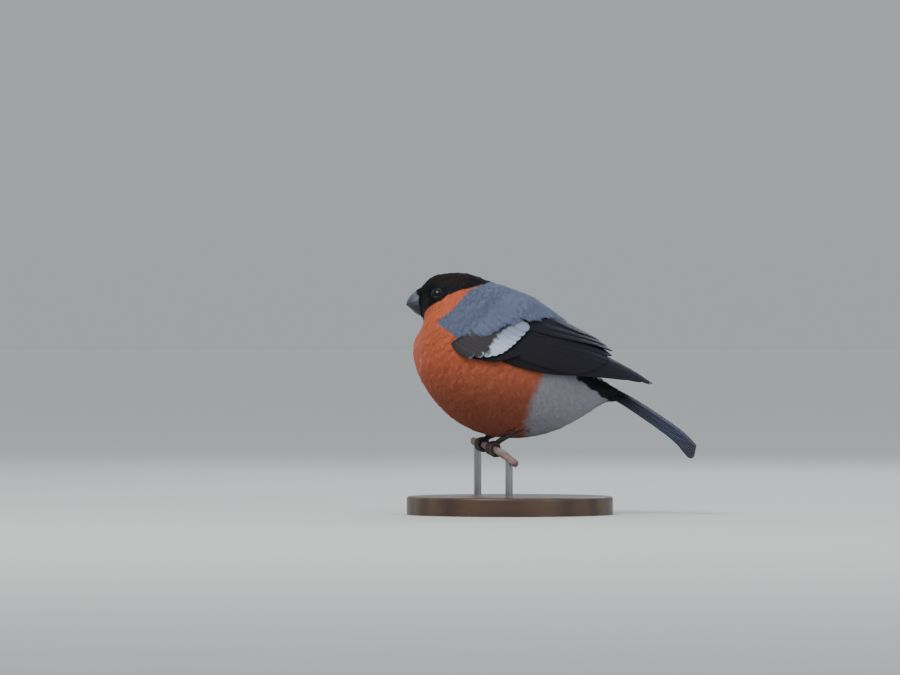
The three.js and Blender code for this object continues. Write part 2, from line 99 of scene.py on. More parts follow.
# Bill: rings from the face to the tip, and the line of the mouth
BILL_RINGS = [
    ((-38.4, 97.4), (-37.2, 86.8), 4.6),
    ((-40.1, 97.8), (-38.7, 86.5), 4.8),
    ((-42.5, 96.3), (-41.2, 87.7), 4.1),
    ((-44.5, 93.8), (-43.4, 89.7), 2.5),
    ((-45.3, 91.5), (-44.8, 90.9), 0.5),
]
MOUTH_CORNER = (-39.0, 93.2)
MOUTH_TIP = (-45.2, 91.5)
MOUTH_GAP = 0.04
LOWER_BILL_INSET = 0.16
BILL_POLE = 0.03
BILL_BEVEL = 0.14
BILL_MERGE = 0.1
NOSTRIL = ((-40.9, 3.0, 95.6), 0.55)
NOSTRIL_REACH = 1.6
NOSTRIL_DEPTH = 0.5
NOSTRIL_AIM = (1.5, -1.0)

# Eye
EYE_PLACE = (-31.7, 96.5)
EYE_RADIUS = 2.8
EYE_DEPTH = 1.4
EYE_FLAT = 0.82
LID_RADIUS = 0.27
LID_OPENING = 2.15
LID_FLAT = 0.6
LID_BEAD = 0.03
LID_BEADS = 26

# Legs, feet and the stem that they grip: x, how far out, z
STEM_LINE = [(-15.5, 25, 31.6), (-11.6, 7.4, 30.4), (-7.2, -7.4, 28.9), (-2.6, -18, 26.2), (2.2, -26, 22.6)]
STEM_STEPS = 24
STEM_RADIUS = 1.7
STEM_TAPER = 0.94
THIGH = (11.5, 13.5, 45.0)
HEEL = (6.0, 15.0, 38.6)
LEG_SHARES = [0, 0.24, 0.4, 0.47, 0.6, 0.78, 0.86, 1]
LEG_RADII = [2.2, 1.9, 1.5, 1.15, 1.0, 1.2, 1.35, 0.8]
FOOT_STATIONS = {-1: 0.515, 1: 0.24}
ANKLE_ANGLE = -35
ANKLE_HEIGHT = 1.75
TOE_RADIUS = 0.85
GRIP_SHARE = 0.9
TOE_PRESS = 0.92
TOE_KNUCKLE = 0.13
CLAW_RADIUS = 0.5
CLAW_LIFT = 0.5

# Toes: start and end angle round the stem, and where along it each one starts and ends
TOES = [(-35, 190, -0.9, -3.6), (-35, 215, 0.0, 0.2), (-35, 190, 0.9, 3.8), (-20, -120, 0.0, -0.6)]
FRONT_TOES = 3
CLAW_TURN = 62
CLAW_ROOT = -0.08

# Parting of the belly feathers outside each shank: radius, and how far out and down it lies
PARTING = (1.55, 1.74, 0.72)
SHANK_CLEARANCE = 1.6
EYE_CLEARANCE = (0.35, 0.15)
SIDES = ((-1, "left"), (1, "right"))

# Coat: along the rings, the tufts' length, spacing, depth of their roots, all in mm
COAT_RINGS = [0, 0.8, 2, 3.2, 4.5, 6, 8, 10, 12]
COAT_LENGTH = [1.5, 2.3, 3.3, 4.6, 6.2, 7.2, 7.6, 6.5, 6.0]
COAT_PITCH = [0.55, 0.62, 0.8, 1.0, 1.3, 1.45, 1.55, 1.4, 1.2]
COAT_DEPTH = [0.4, 0.7, 1.1, 1.6, 2.1, 2.5, 2.7, 2.0, 1.0]
LENGTH_SPREAD = (0.85, 1.15)
TUFT_WIDTH = 0.26
TUFT_THICK = 0.035
LEAST_TUFTS = 6
STRAY_SHARE = 0.06
STRAY_LIFT = 0.28
LEAST_PACE = 0.8
PIECE_FACES = 190000
ROW_CHANCE = (0.25, 0.22)
YAW_SPREAD = 0.1
STAND_SPREAD = (-0.08, 0.05)
STAND_DEPTHS = (1.5, 1.0)
LEAST_HALF = 4
MIDDLE_DEPTH = 0.1
TIP_DEPTH = 0.3

# Blades of a tuft, as shares of its length and half width
BLADES = 20
BLADE_WIDTH = 0.1
BLADE_THICK = 0.6
BLADE_LIFT = 0.45
BLADE_START = (0.3, 0.5)
BLADE_REACH = (-0.14, 0.12)
FAN_ROUND = 0.25
FAN_WIDTH = (0.35, 0.75)
LEAF_REACH = 0.46
LEAF_DEPTH = 0.75

# How far shading turns to the form below, and which normals face away from it
SOFT_SHARE = 0.78
TURNED_AWAY = -0.3

# The coat's map: span and margin of the whole, and the size of one tuft's patch
MAP_SPAN = 0.96
MAP_MARGIN = 0.02
PATCH_SIZE = 0.003


def smooth_line(points, steps):
    """Points on a centripetal curve through the given ones"""
    p = np.array(points, float)
    ends = np.vstack([2 * p[0] - p[1], p, 2 * p[-1] - p[-2]])
    out = []
    for i in range(len(p) - 1):
        a, b, c, d = ends[i:i + 4]
        gaps = [max(np.linalg.norm(v) ** 0.5, 1e-4) for v in (b - a, c - b, d - c)]
        m1 = ((b - a) / gaps[0] - (c - a) / (gaps[0] + gaps[1]) + (c - b) / gaps[1]) * gaps[1]
        m2 = ((c - b) / gaps[1] - (d - b) / (gaps[1] + gaps[2]) + (d - c) / gaps[2]) * gaps[1]
        t = np.linspace(0, 1, steps, endpoint=False)[:, None]
        out.append(b + m1 * t + (3 * (c - b) - 2 * m1 - m2) * t ** 2 + (2 * (b - c) + m1 + m2) * t ** 3)
    return np.vstack(out + [p[-1:]])


def unit(vectors):
    """Vectors of length one"""
    return vectors / np.maximum(np.linalg.norm(vectors, axis=-1, keepdims=True), 1e-9)


class RingForm:
    """Smooth form whose rings run from a back line to a belly line, in mm"""
    STEPS = 40
    PROBE = 0.02

    def __init__(self, rings):
        backs = smooth_line([(b[0], half, b[1]) for b, _, half in rings], self.STEPS)
        bellies = smooth_line([(v[0], 0, v[1]) for _, v, _ in rings], self.STEPS)
        self.last = len(rings) - 1
        self.index = np.linspace(0, self.last, len(backs))
        self.half = backs[:, 1]
        flat = backs * [1, 0, 1]
        self.middle = (flat + bellies) / 2
        self.rise = (flat - bellies) / 2
        self.along = unit(np.stack([self.rise[:, 2], 0 * self.half, -self.rise[:, 0]], 1))

    def _at(self, table, index):
        return np.stack([np.interp(index, self.index, column) for column in table.T], -1)

    def point(self, index, angle, side=1, grow=0.0):
        """Point on the surface at an angle from the back line, grown outwards"""
        index, angle, grow = np.broadcast_arrays(*[np.asarray(v, float) for v in (index, angle, grow)])
        middle, rise = self._at(self.middle, index), self._at(self.rise, index)
        half = np.interp(index, self.index, self.half)
        long = np.linalg.norm(rise, axis=-1)
        point = middle + rise * ((1 + grow / long) * np.cos(angle))[..., None]
        point[..., 1] = side * (half + grow) * np.sin(angle) * (1 - SAG * np.cos(angle))
        return point

    def frame(self, index, angle, side=1, grow=0.0):
        """Point, way towards the tail, outward normal, and the mm that one ring spans"""
        step = self.PROBE
        point = self.point(index, angle, side, grow)
        ahead = self.point(np.asarray(index) + step, angle, side, grow) - self.point(
            np.asarray(index) - step, angle, side, grow)
        across = self.point(index, np.asarray(angle) + step, side, grow) - self.point(
            index, np.asarray(angle) - step, side, grow)
        pace = np.linalg.norm(ahead, axis=-1) / (2 * step)
        normal = unit(np.cross(across, ahead))
        outward = np.sum(normal * (point - self._at(self.middle, index)), -1, keepdims=True)
        return point, unit(ahead), np.where(outward < 0, -normal, normal), pace

    def find(self, place):
        """Ring index and angle of a place in the side view"""
        target = np.array([place[0], 0, place[1]])
        ahead = np.sum((target - self.middle) * self.along, 1)
        behind = np.nonzero(ahead <= 0)[0]
        k = behind[0] if len(behind) else len(ahead) - 1
        index = float(self.index[k])
        if 0 < k < len(ahead) and ahead[k] <= 0:
            share = ahead[k - 1] / (ahead[k - 1] - ahead[k])
            index = float(self.index[k - 1] + share * (self.index[k] - self.index[k - 1]))
        middle, rise = self._at(self.middle, index), self._at(self.rise, index)
        share = float(np.dot(target - middle, rise) / np.dot(rise, rise))
        return index, math.acos(max(-1.0, min(1.0, share)))


body = RingForm(BODY_RINGS)
wing_form = RingForm(WING_RINGS)
bill_form = RingForm(BILL_RINGS)
stem_points = smooth_line(STEM_LINE, STEM_STEPS)


def eye_centre(side):
    """Middle of one eye's ball and the way it looks"""
    index, angle = body.find(EYE_PLACE)
    point, _, out, _ = body.frame(index, angle, side)
    return point - out * EYE_DEPTH, out


# Nodes of the materials
class Nodes:
    """Short ways to add and join shader nodes"""

    def __init__(self, tree):
        self.tree = tree

    def add(self, kind, inputs=None, **settings):
        node = self.tree.nodes.new(kind)
        for key, value in settings.items():
            setattr(node, key, value)
        for key, value in (inputs or {}).items():
            if isinstance(value, bpy.types.NodeSocket):
                self.tree.links.new(value, node.inputs[key])
            else:
                node.inputs[key].default_value = value
        return node

    def math(self, operation, a, b=0.0):
        return self.add("ShaderNodeMath", {0: a, 1: b}, operation=operation).outputs[0]

    def plus(self, a, b):
        return self.math("ADD", a, b)

    def minus(self, a, b):
        return self.math("SUBTRACT", a, b)

    def times(self, a, b):
        return self.math("MULTIPLY", a, b)

    def place(self):
        """Place on the bird, in metres"""
        return self.add("ShaderNodeTexCoord").outputs["Object"]

    def parts(self, vector):
        return self.add("ShaderNodeSeparateXYZ", {0: vector}).outputs

    def stretch(self, vector, *scale):
        return self.add("ShaderNodeMapping", {"Vector": vector, "Scale": scale}).outputs[0]

    def span(self, value, low, high):
        """Share from 0 to 1 spread between two numbers"""
        node = self.add("ShaderNodeMapRange", {"Value": value, "To Min": low, "To Max": high})
        return node.outputs["Result"]

    def bump(self, height, strength, distance):
        inputs = {"Strength": strength, "Distance": distance, "Height": height}
        return self.add("ShaderNodeBump", inputs).outputs[0]

    def mix(self, share, a, b, blend="MIX"):
        node = self.add("ShaderNodeMix", {0: share, 6: a, 7: b}, data_type="RGBA", blend_type=blend)
        return node.outputs[2]

    def edge(self, value, low, high):
        node = self.add("ShaderNodeMapRange", {"Value": value, "From Min": low, "From Max": high},
                        interpolation_type="SMOOTHSTEP")
        return node.outputs["Result"]

    def line(self, value, points):
        """Height of a bent line over a value, from its corner points"""
        lows, highs = [p[0] for p in points], [p[1] for p in points]
        inputs = {"Value": value, "From Min": min(lows), "From Max": max(lows)}
        share = self.add("ShaderNodeMapRange", inputs)
        curve = self.add("ShaderNodeFloatCurve", {"Value": share.outputs["Result"]})
        handles = curve.mapping.curves[0].points
        span, rise = max(lows) - min(lows), max(max(highs) - min(highs), 1e-6)
        for _ in range(len(points) - 2):
            handles.new(0.5, 0.5)
        for handle, (low, high) in zip(handles, sorted(points)):
            handle.location = ((low - min(lows)) / span, (high - min(highs)) / rise)
            handle.handle_type = "VECTOR"
        curve.mapping.update()
        return self.span(curve.outputs[0], min(highs), max(highs))

    def noise(self, vector, scale, detail=3.0, roughness=0.5):
        node = self.add("ShaderNodeTexNoise", {"Vector": vector, "Scale": scale, "Detail": detail,
                                               "Roughness": roughness})
        return node.outputs["Fac"]


def rgb(red, green, blue):
    return (red, green, blue, 1.0)


def new_group(name, inputs, outputs):
    """Empty node group with named sockets"""
    group = bpy.data.node_groups.new(name, "ShaderNodeTree")
    for direction, sockets in (("INPUT", inputs), ("OUTPUT", outputs)):
        for key, kind in sockets.items():
            group.interface.new_socket(key, in_out=direction, socket_type=kind)
    return group


# Edges of the markings and of the painted shade under the wing in the side view, in mm; the mantle's and
# the vent's give x over z
CAP_EDGE = [(-46.0, 85.5), (-39.5, 86.0), (-38.2, 86.8), (-35.7, 90.0), (-32.6, 92.0), (-30.4, 93.2),
            (-27.4, 95.4), (-21.7, 97.8), (-17.4, 98.6), (-13.9, 99.6), (-9.1, 101.2), (-4.0, 106.0)]
MANTLE_FRONT = [(70.0, -17.0), (76.0, -22.0), (84.0, -32.0), (86.5, -28.5), (89.1, -25.2), (93.5, -21.5),
                (97.8, -17.8), (100.0, -12.5), (106.0, -8.0)]
VENT_FRONT = [(30.0, 6.0), (40.0, 7.0), (50.0, 9.0), (57.0, 12.5), (63.0, 15.0), (68.0, 20.0)]
WING_BOTTOM = [(-30.0, 72.0), (-21.7, 70.2), (-8.3, 68.6), (1.7, 67.0), (15.2, 64.5), (27.0, 62.5),
               (40.0, 60.0)]
WING_TOP = [(-30.0, 70.0), (-19.0, 71.5), (-8.0, 73.0), (0.0, 79.0), (8.0, 82.0), (24.0, 80.0),
            (40.0, 70.0)]

# Where each marking fades in, in mm: none of it at the first number, all of it at the second
FADES = {
    "belly": (76.0, 42.0), "throat": (-34.0, -42.0), "cheek": (80.0, 90.0),
    "mantle": (-0.8, 0.8), "mantle_hem": (67.0, 69.5),
    "wing_top": (0.0, 1.0), "wing_bottom": (0.5, 1.5), "wing_front": (-20.0, -18.0),
    "wing_back": (24.0, 22.0),
    "vent": (-2.5, 2.5), "vent_top": (66.0, 63.0),
    "rump_front": (24.0, 26.0), "rump_low": (72.6, 73.2),
    "coverts_front": (28.0, 29.5), "coverts_low": (78.2, 79.6),
    "crown_low": (98.5, 102.5), "crown_back": (-15.0, -21.0),
    "cap": (-0.35, 0.35), "bib_back": (-36.0, -37.2), "bib_low": (83.4, 84.2),
}
EDGE_WANDER = 3.4
RUMP_SLOPE = 0.35
COVERTS_SLOPE = 0.68
CHIN_ROUND = 0.07

# Tones of the plumage and the finishes, in linear light
TONES = {
    "breast": (rgb(0.57, 0.14, 0.066), rgb(0.30, 0.092, 0.055)),
    "throat": rgb(0.70, 0.24, 0.19),
    "cheek": rgb(0.70, 0.165, 0.075),
    "mantle": (rgb(0.115, 0.138, 0.215), rgb(0.165, 0.195, 0.29)),
    # Near-black painted shade on the body under the wings
    "painted_shade_under_wing": rgb(0.008, 0.007, 0.010),
    "vent": (rgb(0.27, 0.26, 0.30), rgb(0.37, 0.355, 0.40)),
    "rump": rgb(0.62, 0.66, 0.74),
    "tail_coverts": rgb(0.007, 0.007, 0.012),
    "cap": (rgb(0.0025, 0.003, 0.006), rgb(0.006, 0.006, 0.009)),
    # Brown of a painted sheen on the top of the crown
    "crown": rgb(0.016, 0.0095, 0.0085),
    "flight_black": (rgb(0.0045, 0.0035, 0.005), rgb(0.009, 0.0065, 0.010)),
    # Blue of a painted sheen on the flight vanes, not a tone of the vanes
    "flight_painted_sheen": (rgb(0.014, 0.015, 0.045), rgb(0.025, 0.018, 0.045)),
    "flight_rim": rgb(0.04, 0.043, 0.065),
    "bar": (rgb(0.36, 0.43, 0.56), rgb(0.52, 0.60, 0.74)),
    "bar_high": rgb(0.17, 0.20, 0.29),
    "bar_root": rgb(0.012, 0.008, 0.011),
    # Tail blue, partly the vanes' own tone and partly a painted sheen towards grazing views, then the tip's
    # purple-brown
    "tail_sheen": (rgb(0.026, 0.036, 0.100), rgb(0.034, 0.026, 0.052)),
    "tail_black": rgb(0.006, 0.0065, 0.013),
    "bill": (rgb(0.006, 0.0065, 0.010), rgb(0.016, 0.017, 0.024)),
    # Painted highlight on the upper bill
    "bill_painted_highlight": rgb(0.075, 0.09, 0.13),
    "eye": (rgb(0.001, 0.001, 0.001), rgb(0.008, 0.004, 0.003)),
    "lid": (rgb(0.006, 0.005, 0.006), rgb(0.022, 0.017, 0.017)),
    "leg": (rgb(0.028, 0.017, 0.017), rgb(0.085, 0.052, 0.05)),
    "leg_joint": rgb(0.022, 0.013, 0.012),
    "claw": (rgb(0.02, 0.014, 0.012), rgb(0.06, 0.045, 0.04)),
    "bark": (rgb(0.13, 0.08, 0.07), rgb(0.36, 0.245, 0.22)),
    "bark_crust": rgb(0.30, 0.31, 0.26),
    "wood": (rgb(0.055, 0.028, 0.016), rgb(0.115, 0.06, 0.032)),
    "wood_grain": rgb(0.03, 0.016, 0.01),
    "steel": (rgb(0.24, 0.24, 0.25), rgb(0.36, 0.36, 0.37)),
    "floor": (rgb(0.60, 0.61, 0.60), rgb(0.64, 0.65, 0.64)),
    "sky": (rgb(0.53, 0.565, 0.59), rgb(0.86, 0.91, 0.96)),
}


class Markings:
    """Painting of the plumage, colour over colour, from places in mm"""

    def __init__(self, nodes):
        self.n = n = nodes
        place = n.place()
        self.soft = n.noise(place, scale=420.0, detail=3.0)
        self.wide = n.noise(place, scale=90.0, detail=2.0)
        self.fine = n.noise(place, scale=2400.0, detail=2.0)
        x, y, z = [n.times(part, 1000.0) for part in n.parts(place)]
        shift = n.times(n.minus(self.soft, 0.5), EDGE_WANDER)
        self.x = n.plus(x, shift)
        self.z = n.plus(z, n.times(shift, 0.6))
        self.width = n.math("ABSOLUTE", y)

    def fade(self, value, key):
        return self.n.edge(value, *FADES[key])

    def both(self, a, b):
        return self.n.times(a, b)

    def breast(self):
        """Red, warmer on the cheeks and darker and duller low down"""
        n = self.n
        red = n.mix(self.fade(self.z, "belly"), *TONES["breast"])
        red = n.mix(n.times(self.fade(self.x, "throat"), 0.35), red, TONES["throat"])
        return n.mix(n.times(self.fade(self.z, "cheek"), 0.75), red, TONES["cheek"])

    def mantle(self, colour):
        """Blue-grey back"""
        n = self.n
        grey = n.mix(self.wide, *TONES["mantle"])
        mask = self.fade(n.minus(self.x, n.line(self.z, MANTLE_FRONT)), "mantle")
        return n.mix(self.both(mask, self.fade(self.z, "mantle_hem")), colour, grey)

    def painted_shade_under_wing(self, colour):
        """Painted shade: near-black on the body under the folded wing, in place of the shadow there"""
        n = self.n
        below = self.fade(n.minus(n.line(self.x, WING_TOP), self.z), "wing_top")
        above = self.fade(n.minus(self.z, n.line(self.x, WING_BOTTOM)), "wing_bottom")
        mask = self.both(below, self.both(above, self.fade(self.x, "wing_front")))
        return n.mix(self.both(mask, self.fade(self.x, "wing_back")), colour, TONES["painted_shade_under_wing"])

    def vent(self, colour):
        """Grey-white belly behind the red"""
        n = self.n
        pale = n.mix(self.wide, *TONES["vent"])
        mask = self.fade(n.minus(self.x, n.line(self.z, VENT_FRONT)), "vent")
        return n.mix(self.both(mask, self.fade(self.z, "vent_top")), colour, pale)

    def rump(self, colour):
        """White rump, and the black coverts below and behind it, with their mask"""
        n = self.n
        slope = n.plus(n.times(self.x, RUMP_SLOPE), self.z)
        lower = n.plus(n.times(self.x, COVERTS_SLOPE), self.z)
        white = self.both(self.fade(self.x, "rump_front"), self.fade(slope, "rump_low"))
        black = self.both(self.fade(self.x, "coverts_front"), self.fade(lower, "coverts_low"))
        black = self.both(black, n.minus(1.0, white))
        colour = n.mix(white, colour, TONES["rump"])
        return n.mix(black, colour, TONES["tail_coverts"]), black

    def cap(self, colour):
        """Black cap and bib round the face, with a painted brown sheen on the crown, and their mask"""
        n = self.n
        black = n.mix(self.soft, *TONES["cap"])
        # Painted sheen: the top of the crown is painted brown where light glances off it
        crown = self.both(self.fade(self.z, "crown_low"), self.fade(self.x, "crown_back"))
        black = n.mix(n.times(crown, 0.8), black, TONES["crown"])
        mask = self.fade(n.minus(self.z, n.line(self.x, CAP_EDGE)), "cap")
        chin = n.minus(self.z, n.times(n.times(self.width, self.width), CHIN_ROUND))
        bib = self.both(self.fade(self.x, "bib_back"), self.fade(chin, "bib_low"))
        mask = n.math("MAXIMUM", mask, bib)
        return n.mix(mask, colour, black), mask

    def mottle(self, colour):
        """Slight light and dark over the whole"""
        n = self.n
        light = n.plus(n.times(self.fine, 0.55), n.plus(n.times(self.soft, 0.2), 0.62))
        shade = n.add("ShaderNodeCombineColor", {0: light, 1: light, 2: light}).outputs[0]
        return n.mix(1.0, colour, shade, "MULTIPLY")


def plumage_group():
    """Markings of the skin and the coat, with painted shade under the wings and a painted sheen on the
    crown
    """
    group = new_group("Plumage", {}, {"Color": "NodeSocketColor", "Gloss": "NodeSocketFloat"})
    n = Nodes(group)
    marks = Markings(n)
    colour = marks.vent(marks.painted_shade_under_wing(marks.mantle(marks.breast())))
    colour, coverts = marks.rump(colour)
    colour, cap = marks.cap(colour)
    n.add("NodeGroupOutput", {"Color": marks.mottle(colour), "Gloss": n.math("MAXIMUM", cap, coverts)})
    return group


def barbs_group():
    """Barbs and shaft of a vane from its own map, and the relief that both make"""
    number = "NodeSocketFloat"
    group = new_group("Barbs", {"Vane": "NodeSocketVector", "Pitch": number, "Slant": number},
                      {"Along": number, "Side": number, "Barbs": number, "Relief": number})
    n = Nodes(group)
    given = n.add("NodeGroupInput").outputs
    along, across, _ = n.parts(given["Vane"])
    side = n.math("ABSOLUTE", n.minus(across, 0.5))
    barbs = n.math("SINE", n.plus(n.times(along, given["Pitch"]), n.times(side, given["Slant"])))
    relief = n.plus(n.times(barbs, 0.25), n.edge(side, 0.03, 0.0))
    n.add("NodeGroupOutput", {"Along": along, "Side": side, "Barbs": barbs, "Relief": relief})
    return group


PLUMAGE = plumage_group()
BARBS = barbs_group()


def material(name, build, **constants):
    """Material with one shader, whose constant numbers sit on its own sockets"""
    mat = bpy.data.materials.new(name)
    mat.use_nodes = True
    n = Nodes(mat.node_tree)
    shader = mat.node_tree.nodes["Principled BSDF"]
    for key, value in constants.items():
        shader.inputs[key.replace("_", " ")].default_value = value
    for socket, value in build(n).items():
        mat.node_tree.links.new(value, shader.inputs[socket])
    return mat


def vane_marks(n, pitch, slant):
    """Outputs of the barbs group on a vane's own map"""
    vane = n.add("ShaderNodeUVMap", uv_map="vane").outputs[0]
    return n.add("ShaderNodeGroup", {"Vane": vane, "Pitch": pitch, "Slant": slant}, node_tree=BARBS).outputs


def coat_look(n):
    marks = n.add("ShaderNodeGroup", node_tree=PLUMAGE)
    return {"Base Color": marks.outputs["Color"], "Roughness": n.span(marks.outputs["Gloss"], 0.85, 0.5)}


def flight_look(n):
    """Black vanes with a blue sheen painted in towards grazing views, fine barbs and a paler edge"""
    marks = vane_marks(n, pitch=1300.0, slant=260.0)
    patch = n.noise(n.place(), scale=160.0, detail=2.0)
    facing = n.add("ShaderNodeLayerWeight", {"Blend": 0.45}).outputs["Facing"]
    black = n.mix(patch, *TONES["flight_black"])
    # Painted sheen: the blue is mixed in by the facing weight, stronger towards grazing views
    painted_sheen = n.mix(patch, *TONES["flight_painted_sheen"])
    colour = n.mix(n.times(facing, 0.8), black, painted_sheen)
    rim = n.edge(marks["Side"], 0.44, 0.5)
    colour = n.mix(n.times(rim, 0.5), colour, TONES["flight_rim"])
    return {"Base Color": colour, "Roughness": n.span(patch, 0.45, 0.62),
            "Normal": n.bump(marks["Relief"], strength=0.35, distance=0.00012)}


def bar_look(n):
    """Greater coverts: black at the root, pale grey to the tip, duller on the highest ones"""
    marks = vane_marks(n, pitch=450.0, slant=160.0)
    place = n.place()
    soft = n.noise(place, scale=500.0, detail=3.0)
    spot = n.plus(marks["Along"], n.times(n.minus(soft, 0.5), 0.3))
    spot = n.plus(spot, n.times(marks["Side"], 0.1))
    pale = n.mix(soft, *TONES["bar"])
    height = n.times(n.parts(place)[2], 1000.0)
    pale = n.mix(n.times(n.edge(height, 73.0, 80.5), 0.8), pale, TONES["bar_high"])
    colour = n.mix(n.edge(spot, 0.93, 1.13), TONES["bar_root"], pale)
    return {"Base Color": colour, "Normal": n.bump(marks["Barbs"], strength=0.12, distance=0.0001)}


def tail_look(n):
    """Black with a blue band half way down and a purple-brown tip; the blue is partly a tone of the vanes
    and partly a painted sheen that grows towards grazing views
    """
    marks = vane_marks(n, pitch=1100.0, slant=260.0)
    along = marks["Along"]
    facing = n.add("ShaderNodeLayerWeight", {"Blend": 0.5}).outputs["Facing"]
    blue = n.mix(n.edge(along, 0.75, 1.0), *TONES["tail_sheen"])
    # The constant part of the blue is the vanes' own tone; the part that follows the facing weight is a
    # painted sheen
    sheen = n.times(n.edge(along, 0.2, 0.6), n.plus(n.times(facing, 0.6), 0.25))
    return {"Base Color": n.mix(sheen, TONES["tail_black"], blue),
            "Normal": n.bump(marks["Relief"], strength=0.35, distance=0.00012)}


def bill_look(n):
    """Dark horn with a painted highlight above the mouth, strongest towards the face"""
    place = n.place()
    x, _, z = n.parts(place)
    fine = n.noise(n.stretch(place, 0.35, 1.0, 1.0), scale=1500.0, detail=4.0, roughness=0.6)
    back = n.edge(x, -0.0445, -0.0405)
    above = n.edge(z, 0.0905, 0.0935)
    # Painted highlight on the upper bill, where light falls on it, strongest towards the face
    pale = n.times(n.plus(n.times(back, 0.4), 0.6), above)
    colour = n.mix(pale, n.mix(fine, *TONES["bill"]), TONES["bill_painted_highlight"])
    return {"Base Color": colour, "Roughness": n.span(fine, 0.34, 0.55),
            "Normal": n.bump(fine, strength=0.4, distance=0.0001)}


def eye_look(n):
    mask = n.add("ShaderNodeAttribute", attribute_name="iris").outputs["Fac"]
    return {"Base Color": n.mix(n.edge(mask, 0.5, 0.62), *TONES["eye"])}


def lid_look(n):
    fine = n.noise(n.place(), scale=1500.0, detail=3.0)
    return {"Base Color": n.mix(fine, *TONES["lid"]), "Normal": n.bump(fine, strength=0.5, distance=0.0001)}


def leg_look(n):
    """Dark horn in overlapping scutes"""
    along = n.parts(n.add("ShaderNodeUVMap", uv_map="along").outputs[0])[0]
    fine = n.noise(n.place(), scale=900.0, detail=3.0)
    wave = n.math("FRACT", n.plus(along, n.times(fine, 0.15)))
    ridge = n.times(n.edge(wave, 0.0, 0.3), n.edge(wave, 1.3, 0.7))
    colour = n.mix(ridge, TONES["leg_joint"], n.mix(fine, *TONES["leg"]))
    return {"Base Color": colour, "Normal": n.bump(ridge, strength=0.7, distance=0.00025)}


def claw_look(n):
    fine = n.noise(n.place(), scale=900.0, detail=2.0)
    return {"Base Color": n.mix(fine, *TONES["claw"])}


def bark_look(n):
    """Thin bark with grey-green crust in places"""
    place = n.place()
    fine = n.noise(n.stretch(place, 1.0, 0.25, 1.0), scale=1400.0, detail=5.0, roughness=0.6)
    broad = n.noise(place, scale=220.0, detail=3.0)
    colour = n.mix(n.edge(broad, 0.5, 0.68), n.mix(fine, *TONES["bark"]), TONES["bark_crust"])
    return {"Base Color": colour, "Normal": n.bump(fine, strength=0.8, distance=0.0003)}


def wood_look(n):
    """Dark wood with its grain along x"""
    stretched = n.stretch(n.place(), 0.12, 1.0, 1.0)
    grain = n.noise(stretched, scale=420.0, detail=6.0, roughness=0.62)
    rings = n.add("ShaderNodeTexWave", {"Vector": stretched, "Scale": 26.0, "Distortion": 5.0,
                                        "Detail": 3.0}, bands_direction="Y").outputs["Fac"]
    colour = n.mix(n.times(grain, 0.6), n.mix(rings, *TONES["wood"]), TONES["wood_grain"])
    return {"Base Color": colour, "Roughness": n.span(grain, 0.28, 0.5),
            "Normal": n.bump(grain, strength=0.15, distance=0.0002)}


def metal_look(n):
    lines = n.noise(n.stretch(n.place(), 1.0, 1.0, 0.03), scale=5000.0, detail=2.0)
    return {"Base Color": n.mix(lines, *TONES["steel"]), "Roughness": n.span(lines, 0.25, 0.42)}


def floor_look(n):
    return {"Base Color": n.mix(n.noise(n.place(), scale=40.0, detail=4.0), *TONES["floor"])}


coat_material = material("soft_feathers", coat_look, Sheen_Weight=0.05, Sheen_Roughness=0.5,
                         Specular_IOR_Level=0.15)
flight_material = material("flight_vanes", flight_look, Metallic=0.1, Specular_IOR_Level=0.2)
bar_material = material("wing_bar_coverts", bar_look, Roughness=0.65)
tail_material = material("tail_vanes", tail_look, Roughness=0.5, Metallic=0.1, Specular_IOR_Level=0.3)
bill_material = material("bill_horn", bill_look)
eye_material = material("eye_wet", eye_look, Roughness=0.05, Specular_IOR_Level=0.22, Coat_Weight=0.2,
                        Coat_Roughness=0.02)
lid_material = material("eyelid_skin", lid_look, Roughness=0.5)
leg_material = material("leg_scutes", leg_look, Roughness=0.5)
claw_material = material("claw_horn", claw_look, Roughness=0.3)
bark_material = material("stem_bark", bark_look, Roughness=0.85)
wood_material = material("stand_wood", wood_look)
metal_material = material("stand_steel", metal_look, Metallic=1.0)
floor_material = material("pale_floor", floor_look, Roughness=0.9)


# Pieces
def finish_piece(name, mesh, mat, smooth=True):
    """Object of a mesh, riding on the bird's one body"""
    mesh.materials.append(mat)
    mesh.polygons.foreach_set("use_smooth", np.full(len(mesh.polygons), smooth))
    piece = bpy.data.objects.new(name, mesh)
    bpy.context.scene.collection.objects.link(piece)
    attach(piece, "root")
    return piece


def from_bmesh(name, bm, mat, smooth=True):
    mesh = bpy.data.meshes.new(name)
    bmesh.ops.recalc_face_normals(bm, faces=bm.faces)
    bm.to_mesh(mesh)
    bm.free()
    return finish_piece(name, mesh, mat, smooth)


def soften(mesh, lie):
    """Turn the shading of small feathers towards the form that they lie on"""
    own = np.empty(len(mesh.vertices) * 3, np.float32)
    mesh.vertex_normals.foreach_get("vector", own)
    own = own.reshape(-1, 3)
    lie = lie.reshape(-1, 3)
    outward = np.sum(own * lie, 1, keepdims=True) > TURNED_AWAY
    turned = unit(lie * SOFT_SHARE + own * (1 - SOFT_SHARE))
    mesh.normals_split_custom_set_from_vertices(np.where(outward, turned, own))


